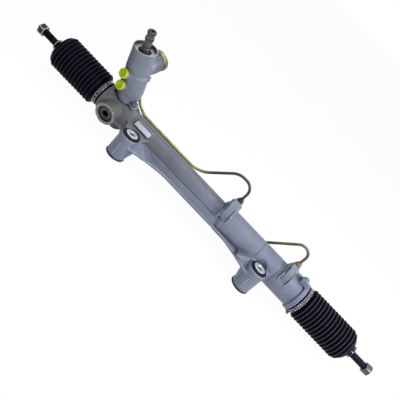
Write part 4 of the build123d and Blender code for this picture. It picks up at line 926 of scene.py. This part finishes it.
def standIn(name, bm, place, body, node, smooth=35):
    # a detailed piece in place of a CAD node, with that node's finish
    material = variants.get(node, finishes[slotOf[node]])
    piece = addPiece(name, bm, place, body, material, smooth)
    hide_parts(node)
    return piece


# punched band clamps on the wide ends of the bellows
clampSets = {
    "left": {"start": 310.3, "end": 318.3, "radius": 30.7, "thick": 1.2, "cells": 18, "rim": 1.6,
             "plain": (200, 232), "ear": 60, "node": "left_band_clamp", "screw": False},
    "right": {"start": 311.3, "end": 319.3, "radius": 35.2, "thick": 1.2, "cells": 36, "rim": 2.3,
              "plain": (200, 245), "ear": -100, "node": "right_band_clamp", "screw": True},
}
wormSet = {"high": 2.4, "size": (5.0, 10.0, 9.0), "edge": 1.0, "barHigh": 2.8, "bar": (-9.5, 7.0),
           "barR": 2.2, "head": (-11.5, -7.5), "headR": 3.0}
earSet = {"high": 2.4, "apart": 3.2, "leg": (5.6, 1.3, 8.4), "topHigh": 4.8, "top": (1.3, 7.6, 8.4),
          "edge": 0.5}


def punchedBand(sizes):
    # a thin band with a row of slots, left whole between two angles
    bm = bmesh.new()
    rows = [sizes["start"], sizes["start"] + sizes["rim"], sizes["end"] - sizes["rim"], sizes["end"]]
    spinOutline(bm, [(along, sizes["radius"]) for along in rows], sizes["cells"] * 2, False)
    bmesh.ops.remove_doubles(bm, verts=bm.verts, dist=weld)
    middle = (sizes["start"] + sizes["end"]) / 2
    gone = []
    for face in bm.faces:
        centre = face.calc_center_median()
        angle = degrees(atan2(centre.y, centre.x)) % 360
        cell = int(angle / 360 * sizes["cells"] * 2)
        plain = sizes["plain"][0] < angle < sizes["plain"][1]
        if abs(centre.z - middle) < 0.1 and cell % 2 == 0 and not plain:
            gone.append(face)
    bmesh.ops.delete(bm, geom=gone, context="FACES")
    bmesh.ops.recalc_face_normals(bm, faces=bm.faces)
    bmesh.ops.solidify(bm, geom=list(bm.faces), thickness=-sizes["thick"])
    bmesh.ops.recalc_face_normals(bm, faces=bm.faces)
    return softened(bm, 0.45, 1, 50)


def addBlock(bm, centre, size, turn, edge):
    # a block with rounded edges on the band, turned round the Z axis
    made = bmesh.ops.create_cube(bm, size=1)
    bmesh.ops.scale(bm, vec=size, verts=made["verts"])
    edges = list({e for v in made["verts"] for e in v.link_edges})
    rounded = bevelled(bm, edges, edge)
    verts = list({v for f in rounded for v in f.verts} | {v for v in made["verts"] if v.is_valid})
    verts = list({v for f in {f for v in verts for f in v.link_faces} for v in f.verts})
    bmesh.ops.translate(bm, vec=centre, verts=verts)
    bmesh.ops.rotate(bm, cent=(0, 0, 0), matrix=Matrix.Rotation(radians(turn), 3, "Z"), verts=verts)


def addBar(bm, start, end, radius, steps=16):
    # a round bar between two points, with closed ends
    way = Vector(end) - Vector(start)
    made = bmesh.ops.create_cone(bm, cap_ends=True, segments=steps, radius1=radius, radius2=radius,
                                 depth=way.length)
    turn = Vector((0, 0, 1)).rotation_difference(way).to_matrix().to_4x4()
    middle = Matrix.Translation((Vector(start) + Vector(end)) / 2)
    bmesh.ops.transform(bm, matrix=middle @ turn, verts=made["verts"])


def buildClamp(side):
    sizes = clampSets[side]
    bm = punchedBand(sizes)
    middle = (sizes["start"] + sizes["end"]) / 2
    top = sizes["radius"] + sizes["thick"]
    if sizes["screw"]:     # the worm housing and its screw head
        w = wormSet
        addBlock(bm, (top + w["high"], 0, middle), w["size"], sizes["ear"], w["edge"])
        swing = Matrix.Rotation(radians(sizes["ear"]), 4, "Z")
        for (low, high), radius in ((w["bar"], w["barR"]), (w["head"], w["headR"])):
            ends = [swing @ Vector((top + w["barHigh"], y, middle)) for y in (low, high)]
            addBar(bm, *ends, radius)
    else:                  # the pinched ear of a crimp band
        e = earSet
        for offset in (-e["apart"], e["apart"]):
            addBlock(bm, (top + e["high"], offset, middle), e["leg"], sizes["ear"], e["edge"])
        addBlock(bm, (top + e["topHigh"], 0, middle), e["top"], sizes["ear"], e["edge"])
    standIn(side + "BandClamp", bm, rackFrames[side], "housing", sizes["node"], 30)


for side in ("left", "right"):
    buildClamp(side)
print("clamps done")

# rods with rolled threads, and their jam nuts
rodSets = {
    "left": {"ball": 416.3, "tip": 516.0, "nut": (498.0, 512.0)},
    "right": {"ball": 418.3, "tip": 533.0, "nut": (518.0, 533.0)},
}
rodForm = {"ballR": 13.0, "ballShare": 0.84, "ballSteps": 12, "neck": ((16.0, 6.2), (21.0, 7.95)),
           "plain": (473.0, 7.95), "thread": ((0.45, 7.0), (0.7, 7.0), (1.2, 7.95), (1.5, 7.95)),
           "pitch": 1.5, "threadLeft": 3.0, "end": ((-1.2, 7.0), (0, 5.8), (0, 0)),
           "nutAcross": 24.0, "nutHole": 8.02, "nutSoft": 0.7, "chamfer": {"from": 0.2, "slope": 0.6}}


def buildRod(side):
    sizes, form = rodSets[side], rodForm
    turns = [pi * (1 - i / form["ballSteps"] * form["ballShare"]) for i in range(form["ballSteps"] + 1)]
    outline = [(sizes["ball"] + form["ballR"] * cos(a), form["ballR"] * sin(a)) for a in turns]
    outline += shifted(form["neck"], sizes["ball"]) + [form["plain"]]
    along = form["plain"][0]
    while along < sizes["tip"] - form["threadLeft"]:
        outline += shifted(form["thread"], along)
        along += form["pitch"]
    outline += shifted(form["end"], sizes["tip"])
    body = side + "_tie_rod"
    standIn(side + "Rod", lathe(outline, 48, closed=False), rackFrames[side], body, body, 40)
    nut = hexBar(*sizes["nut"], form["nutAcross"], form["nutHole"], form["chamfer"])
    bm = softened(nut, form["nutSoft"], 2, 25)
    standIn(side + "Nut", bm, rackFrames[side], body, side + "_jam_nut", 25)


for side in ("left", "right"):
    buildRod(side)
print("rods done")

# bushed mounts: steel sleeve with its washer face, in a flanged rubber bush
mountSet = {
    "x": {"left": -195.0, "right": 195.0},
    "sleeve": ((0, 6.85), (0, 9.5), (0.5, 10.0), (64.0, 10.0)),
    "washer": {"start": 64.0, "end": 66.0, "radius": 14.5, "inner": 10.0, "edge": 0.6},
    "bore": ((66.0, 8.45), (65.5, 7.95), (65.5, 7.05), (64.7, 6.25), (0.6, 6.25)),
    "bushFoot": ((1.0, 10.05), (1.0, 14.05), (1.6, 15.05), (1.6, 20.9)),
    "bushLow": {"start": 1.2, "end": 5.0, "radius": 23.3, "inner": 17.4, "edge": 1.4},
    "bushTop": {"start": 60.5, "end": 63.6, "radius": 20.8, "inner": 17.4, "edge": 1.2},
    "bushCrown": ((63.6, 17.2), (62.6, 16.4), (62.6, 15.4), (63.9, 14.8), (63.9, 10.05)),
}
mountFrames = {side: axisFrame((x, 0, 0), (0, 0, 1), (1, 0, 0)) for side, x in mountSet["x"].items()}


def buildMount(side):
    m = mountSet
    sleeve = [*m["sleeve"], *roundEdge(**m["washer"])[1:-1], *m["bore"]]
    standIn(side + "Sleeve", lathe(sleeve, 72), mountFrames[side], "housing", side + "_steel_sleeve", 40)
    bush = [*m["bushFoot"], *roundEdge(**m["bushLow"])[1:], *roundEdge(**m["bushTop"])[:-1], *m["bushCrown"]]
    standIn(side + "Bush", lathe(bush, 96), mountFrames[side], "housing", side + "_rubber_bush", 45)


for side in mountFrames:
    buildMount(side)
print("mounts done")

# rack guide: machined rim on the boss, lock ring and adjusting plug
guideSet = {
    "rim": ((42.6, 18.52), (43.7, 19.7), (44.15, 20.1), (44.15, 23.2), (43.8, 23.6), (42.6, 23.6)),
    "ring": {"start": 37.0, "end": 41.0, "radius": 18.44, "inner": 12.05, "edge": 0.8},
    "ringInner": ((41.0, 13.2), (40.3, 12.05)),
    "plug": ((32.0, 0), (32.0, 18.44), (37.0, 18.44), (37.0, 11.8), (39.0, 11.8), (39.8, 11.0), (39.8, 8.4),
             (40.4, 7.8)),
    "socketR": 6.0, "socketTop": 40.4, "socketDeep": 5.0, "soft": {"rim": 0.5, "ring": 0.4, "plug": 0.45},
}


def buildGuide():
    g = guideSet
    rim = softened(lathe(g["rim"], 96), g["soft"]["rim"], 1, 30)
    addPiece("guideRim", rim, guideFrame, "housing", finishes["guide_metal"])
    ring = softened(lathe([*roundEdge(**g["ring"])[:-1], *g["ringInner"]], 96), g["soft"]["ring"], 1, 40)
    standIn("guideRing", ring, guideFrame, "housing", "guide_lock_ring", 35)
    bm = lathe(g["plug"], 72, closed=False)
    rim = [e for e in bm.edges if e.is_boundary]
    socket = bmesh.ops.create_circle(bm, cap_ends=False, radius=g["socketR"], segments=6)
    six = list({e for v in socket["verts"] for e in v.link_edges})
    bmesh.ops.translate(bm, vec=(0, 0, g["socketTop"]), verts=socket["verts"])
    bmesh.ops.subdivide_edges(bm, edges=six, cuts=11)
    loop = [e for e in bm.edges if e.is_boundary and e not in rim]
    bmesh.ops.bridge_loops(bm, edges=rim + loop)
    lower = vertsOf(bmesh.ops.extrude_edge_only(bm, edges=[e for e in loop if e.is_valid])["geom"])
    bmesh.ops.translate(bm, vec=(0, 0, -g["socketDeep"]), verts=lower)
    bmesh.ops.contextual_create(bm, geom=lower)
    bmesh.ops.recalc_face_normals(bm, faces=bm.faces)
    standIn("guidePlug", softened(bm, g["soft"]["plug"], 1, 40), guideFrame, "housing", "guide_plug", 35)


buildGuide()
print("guide done")

# input shaft: plain shank, waist and a serrated head with its clamp groove
shaftSet = {
    "pilot": ((45.3, 5.4), (45.3, 12.0), (103.0, 12.0), (103.0, 9.45)),
    "shank": ((158.0, 9.45), (159.0, 8.8), (171.0, 8.8), (172.5, 8.0), (175.4, 8.0)),
    "head": ((176.0, 8.9), (183.5, 8.9), (184.0, 8.1), (190.0, 8.1), (190.5, 8.9), (196.8, 8.9),
             (198.0, 7.7)),
    "bore": ((198.0, 6.2), (197.2, 5.4)),
    "teeth": 36, "toothRuns": ((176.4, 183.2), (190.8, 196.6)), "toothAt": 9.05, "tooth": (1.1, 0.85),
    "toothEdge": 0.25,
}


def buildShaft():
    s = shaftSet
    bm = lathe([*s["pilot"], *s["shank"], *s["head"], *s["bore"]], 72)
    for i in range(s["teeth"]):
        for low, high in s["toothRuns"]:
            addBlock(bm, (s["toothAt"], 0, (low + high) / 2), (*s["tooth"], high - low), 360 / s["teeth"] * i,
                     s["toothEdge"])
    standIn("inputShaft", bm, pinionFrame, "input_shaft", "input_shaft", 30)


buildShaft()
print("shaft done")

# screwed cap of the side chamber
capSet = {
    "at": 97.0, "along": 0.204, "away": 0.94, "up": 0.272,
    "stem": ((48.0, 0), (48.0, 16.9), (58.0, 16.9)),
    "flange": {"start": 58.1, "end": 62.6, "radius": 23.0, "inner": 16.9, "edge": 0.9},
    "step": ((62.6, 20.2), (63.2, 20.2), (63.2, 21.4)),
    "crown": {"end": 70.0, "radius": 21.4, "edge": 2.6},
    "top": ((70.0, 13.0), (69.0, 12.0), (69.0, 0)),
    "notches": 20, "notchAt": (21.3, 0, 65.6), "notch": (1.8, 3.2, 4.2), "notchEdge": 0.4,
}


def buildSideCap():
    c = capSet
    outline = [*c["stem"], *roundEdge(**c["flange"])[1:-1], *c["step"], *fallingEdge(**c["crown"]), *c["top"]]
    bm = lathe(outline, 96, closed=False)
    for i in range(c["notches"]):
        addBlock(bm, c["notchAt"], c["notch"], 360 / c["notches"] * i, c["notchEdge"])
    way = pinionSide * c["along"] + awayWay * c["away"] + pinionWay * c["up"]
    place = axisFrame(pinionFoot + pinionWay * c["at"], way)
    standIn("sideCap", bm, place, "housing", "side_chamber_cap", 35)


buildSideCap()
print("side cap done")

# small band clamp on the right neck: two bands joined by crosspieces, and two pinched tabs
smallClampSet = {"start": 468.2, "end": 475.8, "radius": 11.1, "thick": 1.3, "band": 1.9, "bandEdge": 0.4,
                 "bars": 6, "barWide": 2.6, "barTurn": 20, "barEdge": 0.3,
                 "tabGap": 2.5, "tabTall": 5.6, "tabThick": 1.2, "tabUp": 0.5, "tabTurn": 90, "tabEdge": 0.4}


def buildSmallClamp():
    c = smallClampSet
    bm = bmesh.new()
    middle, length = (c["start"] + c["end"]) / 2, c["end"] - c["start"]
    for low in (c["start"], c["end"] - c["band"]):
        ring = roundEdge(low, low + c["band"], c["radius"] + c["thick"], c["radius"], c["bandEdge"])
        spinOutline(bm, ring, 64)
    for i in range(c["bars"]):
        addBlock(bm, (c["radius"] + c["thick"] / 2, 0, middle), (c["thick"], c["barWide"], length),
                 360 / c["bars"] * i + c["barTurn"], c["barEdge"])
    for offset in (-c["tabGap"], c["tabGap"]):
        addBlock(bm, (c["radius"] + c["tabTall"] / 2 + c["tabUp"], offset, middle),
                 (c["tabTall"], c["tabThick"], length), c["tabTurn"], c["tabEdge"])
    bmesh.ops.recalc_face_normals(bm, faces=bm.faces)
    standIn("smallClamp", bm, rackFrames["right"], "right_tie_rod", "right_small_clamp", 30)


buildSmallClamp()
print("small clamp done")

# the raised pad of the gear end is left bare, with a rough lighter face
padSet = {"x": -190.5, "size": (42.0, 11.5, 2.0), "turn": 50.0, "middle": 28.7, "edge": 0.5}
padFinish = castLook("roughPad", (0.31, 0.33, 0.385), (0.2, 0.215, 0.26), (0.5, 0.52, 0.6),
                     0.1, 0.3, padBump, 0.4)


def buildPad():
    p = padSet
    turn = radians(p["turn"])
    bm = bmesh.new()
    addBlock(bm, (0, 0, p["middle"]), p["size"], 0, p["edge"])
    place = axisFrame((p["x"], rackY, rackZ), Vector((0, -sin(turn), cos(turn))), (1, 0, 0))
    addPiece("barePad", bm, place, "housing", padFinish, 30)


buildPad()
print("pad done")

# beads of flash down the parting line of both mount sleeves, whose lighter pad finish is also a painted
# highlight along the line, and a plain ejector ring on the cylinder
beadSet = {"radius": 22.6, "low": 13.0, "high": 45.0, "step": 4.6, "size": (1.0, 1.5, 3.4), "turn": -92.0,
           "edge": 0.4}
ejectorSet = {"x": 280.0, "below": 20.0,
              "ring": {"start": 33.0, "end": 34.6, "radius": 4.6, "inner": 3.2, "edge": 0.4}}


def buildBeads(side):
    b = beadSet
    bm = bmesh.new()
    along = b["low"]
    while along < b["high"]:
        addBlock(bm, (b["radius"], 0, along), b["size"], b["turn"], b["edge"])
        along += b["step"]
    addPiece(side + "Beads", bm, mountFrames[side], "housing", padFinish, 30)


def buildEjectorRing():
    e = ejectorSet
    below = radians(e["below"])
    place = axisFrame((e["x"], rackY, rackZ), (0, -cos(below), -sin(below)), (1, 0, 0))
    bm = lathe(roundEdge(**e["ring"]), 48)
    addPiece("ejectorRing", bm, place, "housing", finishes["cast_aluminium"], 35)


for side in mountFrames:
    buildBeads(side)
buildEjectorRing()
print("beads done")
